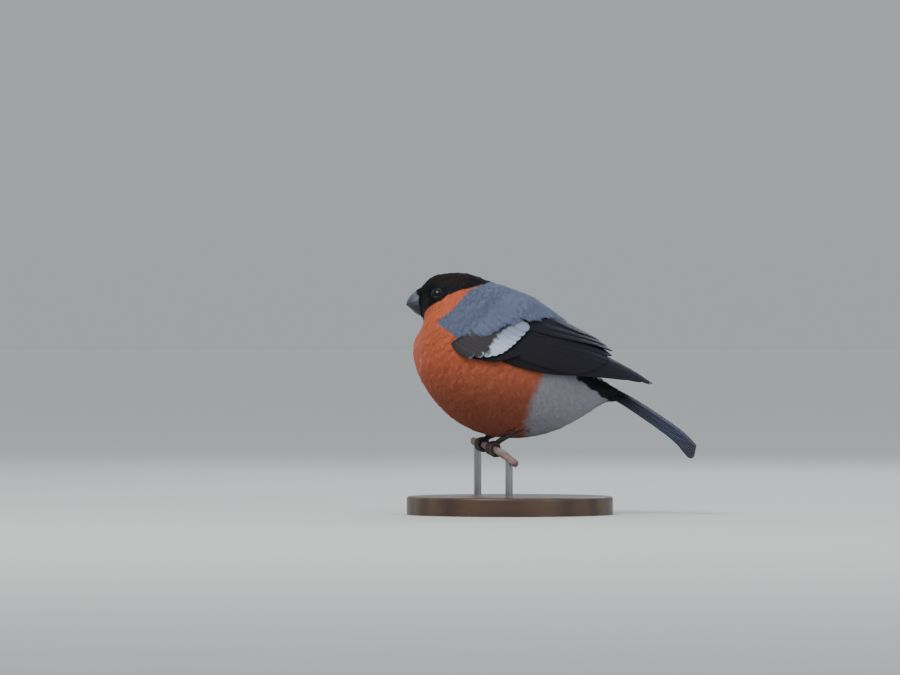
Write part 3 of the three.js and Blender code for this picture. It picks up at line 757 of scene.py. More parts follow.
def from_copies(name, points, template, maps, mat, lie=None):
    """One mesh of many placed copies of a template: points is copies x corners x 3, in mm"""
    copies, corners = points.shape[:2]
    loops, starts = template["loops"], template["starts"]
    mesh = bpy.data.meshes.new(name)
    mesh.vertices.add(copies * corners)
    mesh.vertices.foreach_set("co", (points * MM).astype(np.float32).ravel())
    shift = np.arange(copies)[:, None]
    mesh.loops.add(copies * len(loops))
    mesh.loops.foreach_set("vertex_index", (loops + shift * corners).astype(np.int32).ravel())
    mesh.polygons.add(copies * len(starts))
    mesh.polygons.foreach_set("loop_start", (starts + shift * len(loops)).astype(np.int32).ravel())
    for key, values in maps.items():
        layer = mesh.uv_layers.new(name=key)
        layer.data.foreach_set("uv", values[:, loops].astype(np.float32).ravel())
    mesh.update(calc_edges=True)
    piece = finish_piece(name, mesh, mat)
    if lie is not None:
        soften(mesh, lie)
    return piece


def template_of(bm):
    """Corner places and faces of a small shape that is copied many times"""
    bmesh.ops.recalc_face_normals(bm, faces=bm.faces)
    bm.verts.index_update()
    places = np.array([v.co for v in bm.verts])
    faces = [[v.index for v in face.verts] for face in bm.faces]
    bm.free()
    ends = np.cumsum([len(face) for face in faces])
    return {"places": places, "loops": np.concatenate(faces), "starts": np.concatenate([[0], ends[:-1]])}


def tuft_template(seed):
    """Fan of fine closed blades over a small leaf; x across, y from root to tip, z outwards"""
    draw = np.random.default_rng(seed)
    bm = bmesh.new()
    for k in range(BLADES):
        place = 2 * k / (BLADES - 1) - 1 + draw.uniform(-0.05, 0.05)
        before = set(bm.verts)
        bmesh.ops.create_cone(bm, cap_ends=True, segments=3, radius1=1, radius2=0, depth=1)
        start = draw.uniform(*BLADE_START)
        reach = 1.0 - FAN_ROUND * place * place + draw.uniform(*BLADE_REACH)
        lift = draw.uniform(-BLADE_LIFT, BLADE_LIFT)
        for v in set(bm.verts) - before:
            share = start + (v.co.z + 0.5) * (reach - start)
            x = place * (FAN_WIDTH[0] + FAN_WIDTH[1] * share) + v.co.x * BLADE_WIDTH
            v.co = (x, share, v.co.y * BLADE_THICK + lift * share + 0.4)
    before = set(bm.verts)
    bmesh.ops.create_icosphere(bm, subdivisions=1, radius=1)
    for v in set(bm.verts) - before:
        share = LEAF_REACH + v.co.y * LEAF_REACH
        v.co = (v.co.x * (1 - 0.5 * share * share), share, v.co.z * 0.5 - LEAF_DEPTH)
    bmesh.ops.remove_doubles(bm, verts=bm.verts, dist=1e-5)
    bmesh.ops.triangulate(bm, faces=bm.faces)
    return template_of(bm)


def place_tufts(name, template, line, normal, length, wide, thick, spots):
    """Copies of a tuft, each bent from its root over a middle point to its tip"""
    root, middle, tip = line
    across = unit(np.cross(tip - root, normal))
    t = template["places"]
    share = t[None, :, 1:2]
    spine = ((1 - share) ** 2 * root[:, None] + 2 * (1 - share) * share * middle[:, None]
             + share ** 2 * tip[:, None])
    points = (spine + across[:, None] * t[None, :, 0:1] * (length * wide)[:, None, None]
              + normal[:, None] * t[None, :, 2:3] * (length * thick)[:, None, None])
    patch = spots[:, None] + (t[None, :, :2] * [0.5, 1.0]) * PATCH_SIZE
    from_copies(name, points, template, {"OFBake": patch}, coat_material,
                lie=np.repeat(normal[:, None], t.shape[0], 1))


TUFTS = [tuft_template(seed) for seed in (3, 5, 8)]

# Side of a wing as an outline in the side view, kept free of body tufts
WING_AREA = [(-24.5, 73.5), (-20.0, 71.0), (-6.0, 69.0), (6.0, 67.2), (20.0, 64.4), (30.0, 63.0),
             (40.0, 62.5), (42.0, 68.0), (31.0, 76.5), (22.0, 83.0), (8.0, 90.0), (-5.0, 91.0),
             (-15.0, 84.0), (-21.0, 79.0)]


def inside(x, z, outline):
    """Which places of the side view lie in an outline"""
    hit = np.zeros(x.shape, bool)
    for (ax, az), (bx, bz) in zip(outline, outline[1:] + outline[:1]):
        if az == bz:
            continue
        crossing = (az > z) != (bz > z)
        hit ^= crossing & (x < (bx - ax) * (z - az) / (bz - az) + ax)
    return hit


def leg_points(side):
    """Thigh, heel and ankle in mm, and a way to find places round the stem at the foot"""
    k = int(round(FOOT_STATIONS[side] * (len(STEM_LINE) - 1) * STEM_STEPS))
    centre = stem_points[k]
    along = unit(stem_points[k + 1] - stem_points[k - 1])
    front = unit(np.array([-1.0, 0, 0]) + along * along[0])
    up = np.cross(along, front)
    up = up if up[2] > 0 else -up

    def ring(degrees, radius, shift):
        angle = math.radians(degrees)
        return centre + front * radius * math.sin(angle) + up * radius * math.cos(angle) + along * shift

    thigh, heel = [np.array(place) * [1, side, 1] for place in (THIGH, HEEL)]
    return thigh, heel, ring(ANKLE_ANGLE, STEM_RADIUS + ANKLE_HEIGHT, 0), ring


def near_segment(points, a, b):
    """Distance of points from a straight piece"""
    way = b - a
    share = np.clip(((points - a) @ way) / (way @ way), 0, 1)
    return np.linalg.norm(points - a - share[:, None] * way, axis=1)


def girth(form, index, angles):
    """Length round a ring, or a part of it, in mm"""
    return np.sum(np.linalg.norm(np.diff(form.point(index, angles), axis=0), axis=1))


def map_spot(form, index, angle):
    """Where a tuft's patch lies on the coat's map"""
    return np.stack([(angle / TURN) % 1, index / form.last], -1) * MAP_SPAN + MAP_MARGIN


def coat_roots(first, last):
    """Ring index and angle of the tufts between two rings, in rows with a little chance"""
    rows = []
    index = first
    while index < last:
        pitch = float(np.interp(index, COAT_RINGS, COAT_PITCH))
        count = max(int(girth(body, index, np.linspace(0, TURN, 60)) / pitch), LEAST_TUFTS)
        angles = (np.arange(count) + rng.uniform(0, 1)) * TURN / count
        angles += rng.normal(0, ROW_CHANCE[1], count) * TURN / count
        step = pitch / float(np.mean(body.frame(index, np.linspace(0.3, 2.8, 6))[3]))
        rows.append(np.stack([index + rng.normal(0, ROW_CHANCE[0], count) * step, angles], 1))
        index += step
    return np.vstack(rows).T


def clear_of_parts(root, tip):
    """Which tufts keep off the eyes, the shanks and the sides of the wings"""
    clear = ~(inside(tip[:, 0], tip[:, 2], WING_AREA) & inside(root[:, 0], root[:, 2], WING_AREA))
    for side, _ in SIDES:
        centre, _ = eye_centre(side)
        clear &= np.linalg.norm(root - centre, axis=1) > EYE_RADIUS + EYE_CLEARANCE[0]
        clear &= np.linalg.norm(tip - centre, axis=1) > EYE_RADIUS + EYE_CLEARANCE[1]
        _, heel, ankle, _ = leg_points(side)
        shift = np.array([0, side * PARTING[1], -PARTING[2]])
        clear &= near_segment(tip, heel + shift, ankle + shift) > PARTING[0]
        clear &= near_segment(root, heel, ankle) > SHANK_CLEARANCE
    return clear


def coat_piece(name, first, last):
    """Tufts of the body between two rings, lying from the bill towards the tail"""
    index, angle = coat_roots(first, last)
    index = np.clip(index, first, last)
    length = np.interp(index, COAT_RINGS, COAT_LENGTH) * rng.uniform(*LENGTH_SPREAD, len(index))
    depth = np.interp(index, COAT_RINGS, COAT_DEPTH)
    root, _, normal, pace = body.frame(index, angle, 1, -depth)
    yaw = rng.normal(0, YAW_SPREAD, len(index))
    step = length / np.maximum(pace, LEAST_PACE)
    swing = length * yaw / np.maximum(np.interp(index, body.index, body.half), LEAST_HALF)
    stand = rng.uniform(*STAND_SPREAD, len(index)) * np.minimum(depth, STAND_DEPTHS[0])
    stray = np.where(rng.random(len(index)) < STRAY_SHARE, STRAY_LIFT, 0.0)
    stand += stray * np.minimum(depth, STAND_DEPTHS[1])
    middle = body.point(index + step * 0.5, angle + swing * 0.5, 1, -depth * MIDDLE_DEPTH + stand)
    tip = body.point(np.minimum(index + step, body.last), angle + swing, 1, stand - TIP_DEPTH)
    chosen = np.nonzero(clear_of_parts(root, tip))[0]
    limit = PIECE_FACES // len(TUFTS[0]["starts"])
    for part, start in enumerate(range(0, len(chosen), limit)):
        pick = chosen[start:start + limit]
        label = name if len(chosen) <= limit else f"{name}_{part + 1}"
        line = (root[pick], middle[pick], tip[pick])
        place_tufts(label, TUFTS[part % len(TUFTS)], line, normal[pick], length[pick], TUFT_WIDTH,
                    TUFT_THICK, map_spot(body, index[pick], angle[pick]))


# Fringe over the bill's root: rings and depth of the roots, then heights over the bill
FRINGE_COUNT = 90
FRINGE_ROOTS = (0.05, 0.35)
FRINGE_DEPTH = 0.4
FRINGE_MIDDLE = (0.7, 0.45)
FRINGE_REACH = 0.5
FRINGE_TIP = 0.1
FRINGE_SIZE = (0.2, 0.05)


def bill_fringe():
    """Short bristle tufts that lie forwards over the root of the bill, longest above it"""
    chance = rng.normal(0, 0.25, FRINGE_COUNT)
    angle = (np.arange(FRINGE_COUNT) + chance) * TURN / FRINGE_COUNT
    index = rng.uniform(*FRINGE_ROOTS, FRINGE_COUNT)
    root, _, normal, _ = body.frame(index, angle, 1, -FRINGE_DEPTH)
    middle = bill_form.point(np.full(FRINGE_COUNT, FRINGE_MIDDLE[0]), angle, 1, FRINGE_MIDDLE[1])
    above = np.clip(np.cos(angle) + 0.6, 0.2, 1)
    reach = rng.uniform(0.0, FRINGE_REACH, FRINGE_COUNT) * above
    tip = bill_form.point(1.0 + reach, angle, 1, FRINGE_TIP)
    length = np.linalg.norm(tip - root, axis=1)
    place_tufts("bill_fringe", TUFTS[1], (root, middle, tip), normal, length, *FRINGE_SIZE,
                map_spot(body, index, angle))


def wrap_sphere(columns, rows, place):
    """Sphere whose rows and columns are put where place(share, angle) says"""
    bm = bmesh.new()
    bmesh.ops.create_uvsphere(bm, u_segments=columns, v_segments=rows, radius=1)
    for v in bm.verts:
        share = math.acos(max(-1.0, min(1.0, v.co.z))) / math.pi
        angle = math.atan2(v.co.y, v.co.x)
        v.co = Vector(place(share, angle)) * MM
    return bm


def skin():
    """One skin under the coat, from the face to the tail's root"""
    def place(share, angle):
        index = share * body.last
        depth = float(np.interp(index, COAT_RINGS, COAT_DEPTH))
        if share in (0.0, 1.0):
            return body.middle[0 if share == 0 else -1]
        return body.point(index, angle, 1, -depth)

    bm = wrap_sphere(96, 110, place)
    reach = (EYE_RADIUS + EYE_CLEARANCE[1]) * MM
    for side, _ in SIDES:
        middle = Vector(eye_centre(side)[0]) * MM
        for v in bm.verts:
            way = v.co - middle
            if way.length < reach:
                v.co = middle + way.normalized() * reach
    piece = from_bmesh("skin", bm, coat_material)
    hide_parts("head", "neck", "torso")


# Vanes of the wings and the tail
def vane_template(rows, columns):
    """Closed thin vane: x from -1 to 1 across, y from root to tip, z 1 above and 0 below"""
    bm = bmesh.new()
    bmesh.ops.create_grid(bm, x_segments=columns, y_segments=rows, size=1)
    bmesh.ops.solidify(bm, geom=bm.faces, thickness=1.0)
    for v in bm.verts:
        left = (1 - v.co.y) / 2
        v.co = (v.co.x, 1 - left ** 1.8, max(0.0, min(1.0, abs(v.co.z))))
    return template_of(bm)


LONG_VANE = vane_template(20, 8)
SHORT_VANE = vane_template(12, 8)


# Vanes: where one is widest, how its tip rounds off, and its relief in mm
VANE_SWELL = (0.35, 0.7)
TIP_ROUND = 2.2
TIP_WIDTH = 0.006
RIPPLES = ((0.03, 40), (0.02, 93))
SHAFT_HALF = 0.02
SHAFT_HEIGHT = 0.14
SHAFT_TAPER = 0.8
CAMBER = 0.10
VANE_THICK = (0.10, 0.12)
THICK_TAPER = 0.7
ROOF_ROUND = 1.5


def width_share(share, tip_start, root_width):
    """Width of a vane from root to tip, as a share of its widest"""
    swell = root_width + (1 - root_width) * np.clip(share / VANE_SWELL[0], 0, 1) ** VANE_SWELL[1]
    end = np.clip((share - tip_start) / (1 - tip_start), 0, 1)
    return swell * np.sqrt(np.clip(1 - end ** TIP_ROUND, TIP_WIDTH, 1))


def place_vanes(name, template, feathers, mat):
    """Mesh of vanes; each has rows of shaft points, ways across and out, and its own sizes"""
    side, share, upper = template["places"].T
    points = []
    maps = []
    for feather in feathers:
        shaft, across, out = feather["frame"](share)
        phase = feather["phase"]
        wide = width_share(share, feather.get("tip", 0.8), feather.get("root", 0.55)) * feather["width"] / 2
        x = side * wide * (1 + sum(size * np.sin(share * waves + phase) for size, waves in RIPPLES))
        x = np.where(x * feather.get("skew_side", 1) > 0, x * feather.get("narrow", 1.0), x)
        ridge = np.where(np.abs(side) < SHAFT_HALF, SHAFT_HEIGHT * (1 - share * SHAFT_TAPER), 0)
        thick = VANE_THICK[0] + VANE_THICK[1] * (1 - np.abs(side)) * (1 - share * THICK_TAPER)
        up = (feather.get("lean", 0.0) * x - CAMBER * (side ** 2) * wide + (upper - 0.5) * thick
              + np.where(upper > 0.5, ridge, 0))
        placed = shaft + across * x[:, None] + out * up[:, None]
        slope = 1 - np.sqrt(1 + (placed[:, 1:2] / ROOF_ROUND) ** 2)
        points.append(placed + out * (feather.get("roof", 0.0) * slope * ROOF_ROUND))
        maps.append(np.stack([share / feather.get("pale", 1.0), side / 2 + 0.5], 1))
    return from_copies(name, np.stack(points), template, {"vane": np.stack(maps)}, mat)


# Tiers of the wing: lines of roots and tips in the side view, widths, and height over the form
WING_TIERS = {
    "primaries": dict(count=9, roots=[(-9.0, 70.2), (-3.0, 74.0)],
                      tips=[(52.0, 58.6), (61.8, 56.3), (57.5, 59.4), (48.5, 64.6)],
                      width=(5.6, 7.0), lift=-0.6, sink=0.2, tip=0.62, narrow=0.55),
    "secondaries": dict(count=8, roots=[(-4.0, 74.0), (0.0, 83.0)],
                        tips=[(31.0, 62.3), (38.5, 64.2), (44.0, 68.6)],
                        width=(6.0, 7.5), lift=-0.2, sink=0.3, tip=0.84, narrow=0.7),
    "tertials": dict(count=4, roots=[(1.0, 84.5), (9.0, 90.0)],
                     tips=[(43.8, 70.0), (39.5, 73.4), (33.0, 77.2)],
                     width=(9.0, 8.0), lift=0.5, sink=0.4, tip=0.72, narrow=0.9),
    "primary_coverts": dict(count=5, roots=[(-21.0, 70.5), (-15.0, 73.5)], tips=[(-3.0, 67.4), (4.0, 69.4)],
                            width=(3.4, 4.2), lift=0.2, sink=0.2, tip=0.75, narrow=0.8),
    "greater_coverts": dict(count=11, roots=[(-25.0, 75.5), (-16.0, 82.0), (-4.0, 88.0)],
                            tips=[(-15.0, 68.9), (-4.2, 70.0), (1.8, 73.6), (7.5, 79.5)],
                            width=(5.4, 6.6), lift=0.7, sink=-0.4, tip=0.78, narrow=0.9,
                            pale=[1.02, 0.9, 0.68, 0.55, 0.5]),
}
PALE_SHARES = [0, 0.2, 0.4, 0.7, 1]
VANE_LEAN = 0.13
VANE_LIFT = 1.3
VANE_RISE = 0.7


def vane_frame(start, end, lift, sink, side):
    """Frame along a wing feather between two places on the folded wing's form"""
    def at(u):
        return start[0] + (end[0] - start[0]) * u, start[1] + (end[1] - start[1]) * u

    def frame(u):
        u = np.clip(u, 0, 1)
        out = wing_form.frame(*at(u), side)[2]
        way = (wing_form.point(*at(u + wing_form.PROBE), side)
               - wing_form.point(*at(u - wing_form.PROBE), side))
        across = unit(np.cross(out, unit(way)) * -side)
        rise = sink + (VANE_LIFT - sink) * u ** VANE_RISE + lift * u
        return wing_form.point(*at(u), side) + out * rise[:, None], across, out

    return frame


def wing_vanes(key, side):
    """Vanes of one tier of a wing, from the lowest to the highest"""
    tier = WING_TIERS[key]
    roots, tips = [smooth_line([(a, 0, b) for a, b in tier[ends]], 30) for ends in ("roots", "tips")]
    vanes = []
    for share in np.arange(tier["count"]) / (tier["count"] - 1):
        root, tip = [line[int(round(share * (len(line) - 1)))] for line in (roots, tips)]
        start = wing_form.find((root[0], root[2]))
        end = wing_form.find((tip[0] + rng.normal(0, 0.25), tip[2]))
        width = tier["width"][0] + (tier["width"][1] - tier["width"][0]) * share
        pale = float(np.interp(share, PALE_SHARES, tier.get("pale", [1] * len(PALE_SHARES))))
        vanes.append(dict(frame=vane_frame(start, end, tier["lift"], tier["sink"], side), width=width,
                          lean=-VANE_LEAN, tip=tier["tip"], narrow=tier["narrow"], skew_side=-1,
                          phase=rng.uniform(0, 6), pale=pale))
    return vanes


# Tail: line of the middle feathers, then what each pair further out adds
TAIL_LINE = [(40.0, 57.6), (52.0, 51.9), (66.0, 43.2), (76.0, 36.0), (81.6, 30.4)]
TAIL_PAIRS = 6
TAIL_WIDTH = 7.6
TAIL_SPREAD = ((0.9, 0.75), (2.3, 1.35))
TAIL_DROP = 0.32
TAIL_LAP = 0.15
TAIL_STEP = 0.5
TAIL_ROOF = 0.42


def tail_frame(line, root, tip, drop, reach):
    """Frame along a tail feather, moved aside and down from the middle line"""
    points = smooth_line([(a, 0, b) for a, b in line], 30)
    shares = np.linspace(0, 1, len(points))
    ways = unit(np.gradient(points, axis=0))

    def frame(u):
        point = np.stack([np.interp(u, shares, column) for column in points.T], 1)
        ahead = np.stack([np.interp(u, shares, column) for column in ways.T], 1)
        out = np.stack([-ahead[:, 2], 0 * u, ahead[:, 0]], 1)
        point = point + ahead * (reach * u)[:, None] - out * drop
        point[:, 1] += root + (tip - root) * u
        return point, np.tile([0.0, 1.0, 0.0], (len(u), 1)), out

    return frame


def tail():
    """Twelve feathers under one another, the right one of each pair a little lower"""
    vanes = []
    for pair in range(TAIL_PAIRS):
        for side in (-1, 1):
            root = side * (TAIL_SPREAD[0][0] + TAIL_SPREAD[0][1] * pair)
            tip = side * (TAIL_SPREAD[1][0] + TAIL_SPREAD[1][1] * pair)
            drop = TAIL_DROP * pair + (TAIL_LAP if side > 0 else 0)
            frame_at = tail_frame(TAIL_LINE, root, tip, drop, TAIL_STEP * pair)
            vanes.append(dict(frame=frame_at, width=TAIL_WIDTH, roof=TAIL_ROOF, tip=0.975, root=0.5,
                              narrow=0.75, skew_side=side, phase=rng.uniform(0, 6)))
    piece = place_vanes("tail_feathers", LONG_VANE, vanes, tail_material)
    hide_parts("tail")


# Grey coverts and scapulars in the side view, above the greater coverts and the tertials
GREY_AREA = [(-27.0, 77.6), (-24.0, 76.6), (-16.0, 77.0), (-9.5, 77.2), (-6.0, 78.8), (-2.0, 81.0),
             (5.5, 83.0), (9.6, 82.2), (15.2, 84.2), (20.0, 84.4), (26.0, 82.0), (24.0, 90.0),
             (8.0, 97.0), (-2.0, 101.0), (-10.0, 96.0), (-18.0, 88.0), (-25.0, 81.0)]
GREY_RINGS = (0.0, 4.2)
GREY_PITCH = 1.2
GREY_LENGTH = 6.0
GREY_SIZE = (0.3, 0.04)
GREY_LIFT = (0.1, 2.5)
GREY_ROOTS = (-1.6, 2.2)

# The lift grows backwards from a slanting line through this place, and outwards from the back
LIFT_FRONT = (27.5, 74)
LIFT_SLANT = 0.9
LIFT_LENGTH = 14
LIFT_ANGLE = 0.8


def grey_roots():
    """Ring index and angle of the grey tufts of one wing, in rows with a little chance"""
    rows = []
    index, last = GREY_RINGS
    while index < last:
        count = int(girth(wing_form, index, np.linspace(0.05, math.pi - 0.05, 60)) / GREY_PITCH)
        angles = (np.arange(count) + rng.uniform(0, 1)) * math.pi / count
        pace = float(np.mean(wing_form.frame(index, np.linspace(0.5, 1.8, 5))[3]))
        rows.append(np.stack([index + rng.normal(0, 0.2, count) * GREY_PITCH / pace, angles], 1))
        index += GREY_PITCH / pace
    return np.vstack(rows).T


def grey_coverts(side, label):
    """Soft tufts on the upper wing, lying from the shoulder backwards"""
    index, angle = grey_roots()
    root, _, normal, pace = wing_form.frame(index, angle, side)
    reach = GREY_LENGTH * rng.uniform(*LENGTH_SPREAD, len(index))
    end = wing_form.point(index + reach / np.maximum(pace, LEAST_PACE), angle, side)
    mask = inside(end[:, 0], end[:, 2], GREY_AREA) & (np.sin(angle) > 0.02)
    index, angle, root, normal, pace, reach = (
        values[mask] for values in (index, angle, root, normal, pace, reach))
    step = reach / np.maximum(pace, LEAST_PACE)
    swing = rng.normal(0, 0.12, len(index)) * reach / 20
    stand = rng.uniform(-0.1, 0.1, len(index))
    back = (root[:, 0] + LIFT_FRONT[0] - (root[:, 2] - LIFT_FRONT[1]) * LIFT_SLANT) / LIFT_LENGTH
    back = np.clip(back, 0, 1) * np.clip(angle / LIFT_ANGLE, 0, 1)
    lift = GREY_LIFT[0] + GREY_LIFT[1] * back
    root = root + normal * (GREY_ROOTS[0] + GREY_ROOTS[1] * back)[:, None]
    middle = wing_form.point(index + step * 0.5, angle + swing * 0.5, side, lift * 0.95 + stand)
    tip = wing_form.point(index + step, angle + swing, side, lift + stand)
    place_tufts(f"grey_coverts_{label}", TUFTS[0], (root, middle, tip), normal, reach, *GREY_SIZE,
                map_spot(wing_form, index, angle))


def wing(side, label):
    remiges = [vane for key in ("primaries", "secondaries", "tertials") for vane in wing_vanes(key, side)]
    piece = place_vanes(f"flight_feathers_{label}", LONG_VANE, remiges, flight_material)
    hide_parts(f"wing_{label}")
    for key, mat in (("primary_coverts", flight_material), ("greater_coverts", bar_material)):
        place_vanes(f"{key}_{label}", SHORT_VANE, wing_vanes(key, side), mat)
    grey_coverts(side, label)


# Bill, eyes and lids
def mouth_plane(upper):
    """Place and direction of the cut that parts one half of the bill from the other"""
    corner, tip = [Vector((p[0], 0, p[1])) for p in (MOUTH_CORNER, MOUTH_TIP)]
    way = (tip - corner).normalized()
    normal = Vector((-way.z, 0, way.x))
    normal = normal if (normal.z > 0) == upper else -normal
    return ((corner + tip) / 2 + normal * MOUTH_GAP / 2) * MM, normal


def press_nostrils(bm):
    """Shallow hollow on each side of the bill, pressed inwards"""
    (x, y, z), radius = NOSTRIL
    reach = radius * MM * NOSTRIL_REACH
    aim = Vector((x + NOSTRIL_AIM[0], 0, z + NOSTRIL_AIM[1])) * MM
    for side, _ in SIDES:
        spot = Vector((x, side * y, z)) * MM
        nearest = min((v.co - spot).length for v in bm.verts)
        for v in bm.verts:
            gap = (v.co - spot).length - nearest
            if gap < reach:
                v.co += (aim - v.co).normalized() * (NOSTRIL_DEPTH * MM * (1 - gap / reach))


def cut_bill(upper):
    """One half of the bill, parted along the mouth"""
    def place(share, angle):
        if share in (0.0, 1.0):
            return bill_form.middle[0 if share == 0 else -1]
        inner = min(max((share - BILL_POLE) / (1 - 2 * BILL_POLE), 0), 1)
        return bill_form.point(inner * bill_form.last, angle, 1, 0.0 if upper else -LOWER_BILL_INSET)

    bm = wrap_sphere(48, 40, place)
    middle, normal = mouth_plane(upper)
    bmesh.ops.bisect_plane(bm, geom=bm.verts[:] + bm.edges[:] + bm.faces[:], plane_co=middle,
                           plane_no=normal, clear_inner=True)
    bmesh.ops.remove_doubles(bm, verts=bm.verts, dist=BILL_MERGE * MM)
    rim = [e for e in bm.edges if e.is_boundary]
    bmesh.ops.contextual_create(bm, geom=rim)
    bmesh.ops.bevel(bm, geom=rim, offset=BILL_BEVEL * MM, affect="EDGES", segments=3, profile=0.5,
                    material=-1)
    if upper:
        press_nostrils(bm)
    label = "upper" if upper else "lower"
    piece = from_bmesh(f"bill_{label}_horn", bm, bill_material)
    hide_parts(f"bill_{label}")


def eye_seat(side):
    """Turn and place for what is made looking up at the origin"""
    centre, out = eye_centre(side)
    turn = Vector((0, 0, 1)).rotation_difference(Vector(out)).to_matrix()
    return Matrix.Translation(Vector(centre) * MM) @ turn.to_4x4()


def eyeball(side, label):
    bm = bmesh.new()
    bmesh.ops.create_uvsphere(bm, u_segments=48, v_segments=32, radius=EYE_RADIUS * MM)
    bmesh.ops.scale(bm, verts=bm.verts, vec=(1, 1, EYE_FLAT))
    layer = bm.verts.layers.float.new("iris")
    for v in bm.verts:
        v[layer] = math.hypot(v.co.x, v.co.y) / (EYE_RADIUS * MM)
    bmesh.ops.transform(bm, matrix=eye_seat(side), verts=bm.verts)
    piece = from_bmesh(f"eyeball_{label}", bm, eye_material)
    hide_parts(f"eye_{label}")


def lid(side, label):
    """Beaded ring that lies on the ball"""
    bm = bmesh.new()
    bmesh.ops.create_circle(bm, segments=10, radius=LID_RADIUS * MM)
    bmesh.ops.rotate(bm, verts=bm.verts, matrix=Matrix.Rotation(math.pi / 2, 3, "X"))
    bmesh.ops.translate(bm, verts=bm.verts, vec=(LID_OPENING * MM, 0, 0))
    bmesh.ops.spin(bm, geom=bm.verts[:] + bm.edges[:], cent=(0, 0, 0), axis=(0, 0, 1), angle=TURN,
                   steps=64, use_merge=True)
    bmesh.ops.remove_doubles(bm, verts=bm.verts, dist=1e-6)
    for v in bm.verts:
        reach = math.hypot(v.co.x, v.co.y)
        ball = math.sqrt(max((EYE_RADIUS * MM) ** 2 - reach ** 2, 0))
        bead = LID_BEAD * MM * math.sin(LID_BEADS * math.atan2(v.co.y, v.co.x))
        v.co.z = ball * EYE_FLAT + v.co.z * LID_FLAT + bead
    bmesh.ops.transform(bm, matrix=eye_seat(side), verts=bm.verts)
    from_bmesh(f"lid_{label}", bm, lid_material)


# Ring of tufts round the eye: radii of the roots and tips, how far below the skin, and its arch
RING_COUNT = 64
RING_ROOT = (2.3, 0.4)
RING_TIP = (3.5, 0.55)
RING_SWELL = 0.5
RING_ARCH = 0.3
RING_SIZE = (0.22, 0.06)


def eye_ring(side, label):
    """Tiny tufts that spread from the lid over the bare rim of the skin"""
    centre, out = eye_centre(side)
    turn = (np.arange(RING_COUNT) + rng.normal(0, 0.2, RING_COUNT)) * TURN / RING_COUNT
    first = unit(np.array([1.0, 0, 0]) - out * out[0])
    second = np.cross(out, first)
    way = first * np.cos(turn)[:, None] + second * np.sin(turn)[:, None]
    root = centre + out * (EYE_DEPTH - RING_ROOT[1]) + way * RING_ROOT[0]
    reach = RING_TIP[0] + RING_SWELL * np.cos(turn) + rng.uniform(-0.15, 0.15, RING_COUNT)
    tip = centre + out * (EYE_DEPTH - RING_TIP[1]) + way * reach[:, None]
    middle = (root + tip) / 2 + out * RING_ARCH
    normal = np.tile(out, (RING_COUNT, 1))
    length = np.linalg.norm(np.cross(tip - root, normal), axis=1)
    index, angle = body.find(EYE_PLACE)
    spots = np.tile(map_spot(body, index, side * angle), (RING_COUNT, 1))
    place_tufts(f"eye_ring_{label}", TUFTS[2], (root, middle, tip), normal, length, *RING_SIZE, spots)


# Legs, feet, stem and stand
def tube(points, radii, sides, name, mat, rings_per_mm=0.0, lump=None):
    """Round limb along a line of points in mm, with a radius at each"""
    bm = bmesh.new()
    ways = unit(np.gradient(np.array(points, float), axis=0))
    guide = np.array([0.0, 0.0, 1.0]) if abs(ways[0][2]) < 0.9 else np.array([1.0, 0.0, 0.0])
    lengths = np.concatenate([[0], np.cumsum(np.linalg.norm(np.diff(points, axis=0), axis=1))])
    bmesh.ops.create_circle(bm, cap_ends=True, segments=sides, radius=1)
    face = bm.faces[:][0]
    layer = bm.loops.layers.uv.new("along")
    station = {}
    for k, (point, way, radius) in enumerate(zip(points, ways, radii)):
        if k:
            grown = bmesh.ops.extrude_face_region(bm, geom=[face])["geom"]
            cap = next(part for part in grown if isinstance(part, bmesh.types.BMFace))
            if k > 1 and face.is_valid:
                bmesh.ops.delete(bm, geom=[face], context="FACES_KEEP_BOUNDARY")
            face = cap
        guide = unit(guide - way * np.dot(guide, way))
        other = np.cross(way, guide)
        for j, loop in enumerate(face.loops):
            angle = TURN * j / sides
            swell = radius * (1 + (lump(angle, lengths[k]) if lump else 0))
            outward = guide * math.cos(angle) + other * math.sin(angle)
            loop.vert.co = Vector(point + outward * swell) * MM
            station[loop.vert] = lengths[k]
    for f in bm.faces:
        for loop in f.loops:
            loop[layer].uv = (station[loop.vert] * rings_per_mm, 0.5)
    return from_bmesh(name, bm, mat)


def shank(side, label):
    """Leg from the thigh over the heel down to the grip on the stem"""
    thigh, heel, ankle, ring = leg_points(side)
    grip = ring(ANKLE_ANGLE, STEM_RADIUS + TOE_RADIUS * GRIP_SHARE, 0)
    knee = (thigh + heel) / 2 + [0.2, 0, 0]
    line = smooth_line([thigh, knee, heel, (heel + ankle) / 2, ankle, grip], 8)
    radii = np.interp(np.linspace(0, 1, len(line)), LEG_SHARES, LEG_RADII)
    piece = tube(line, radii, 16, f"shank_{label}", leg_material, rings_per_mm=0.9)
    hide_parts(f"leg_{label}", f"foot_{label}")


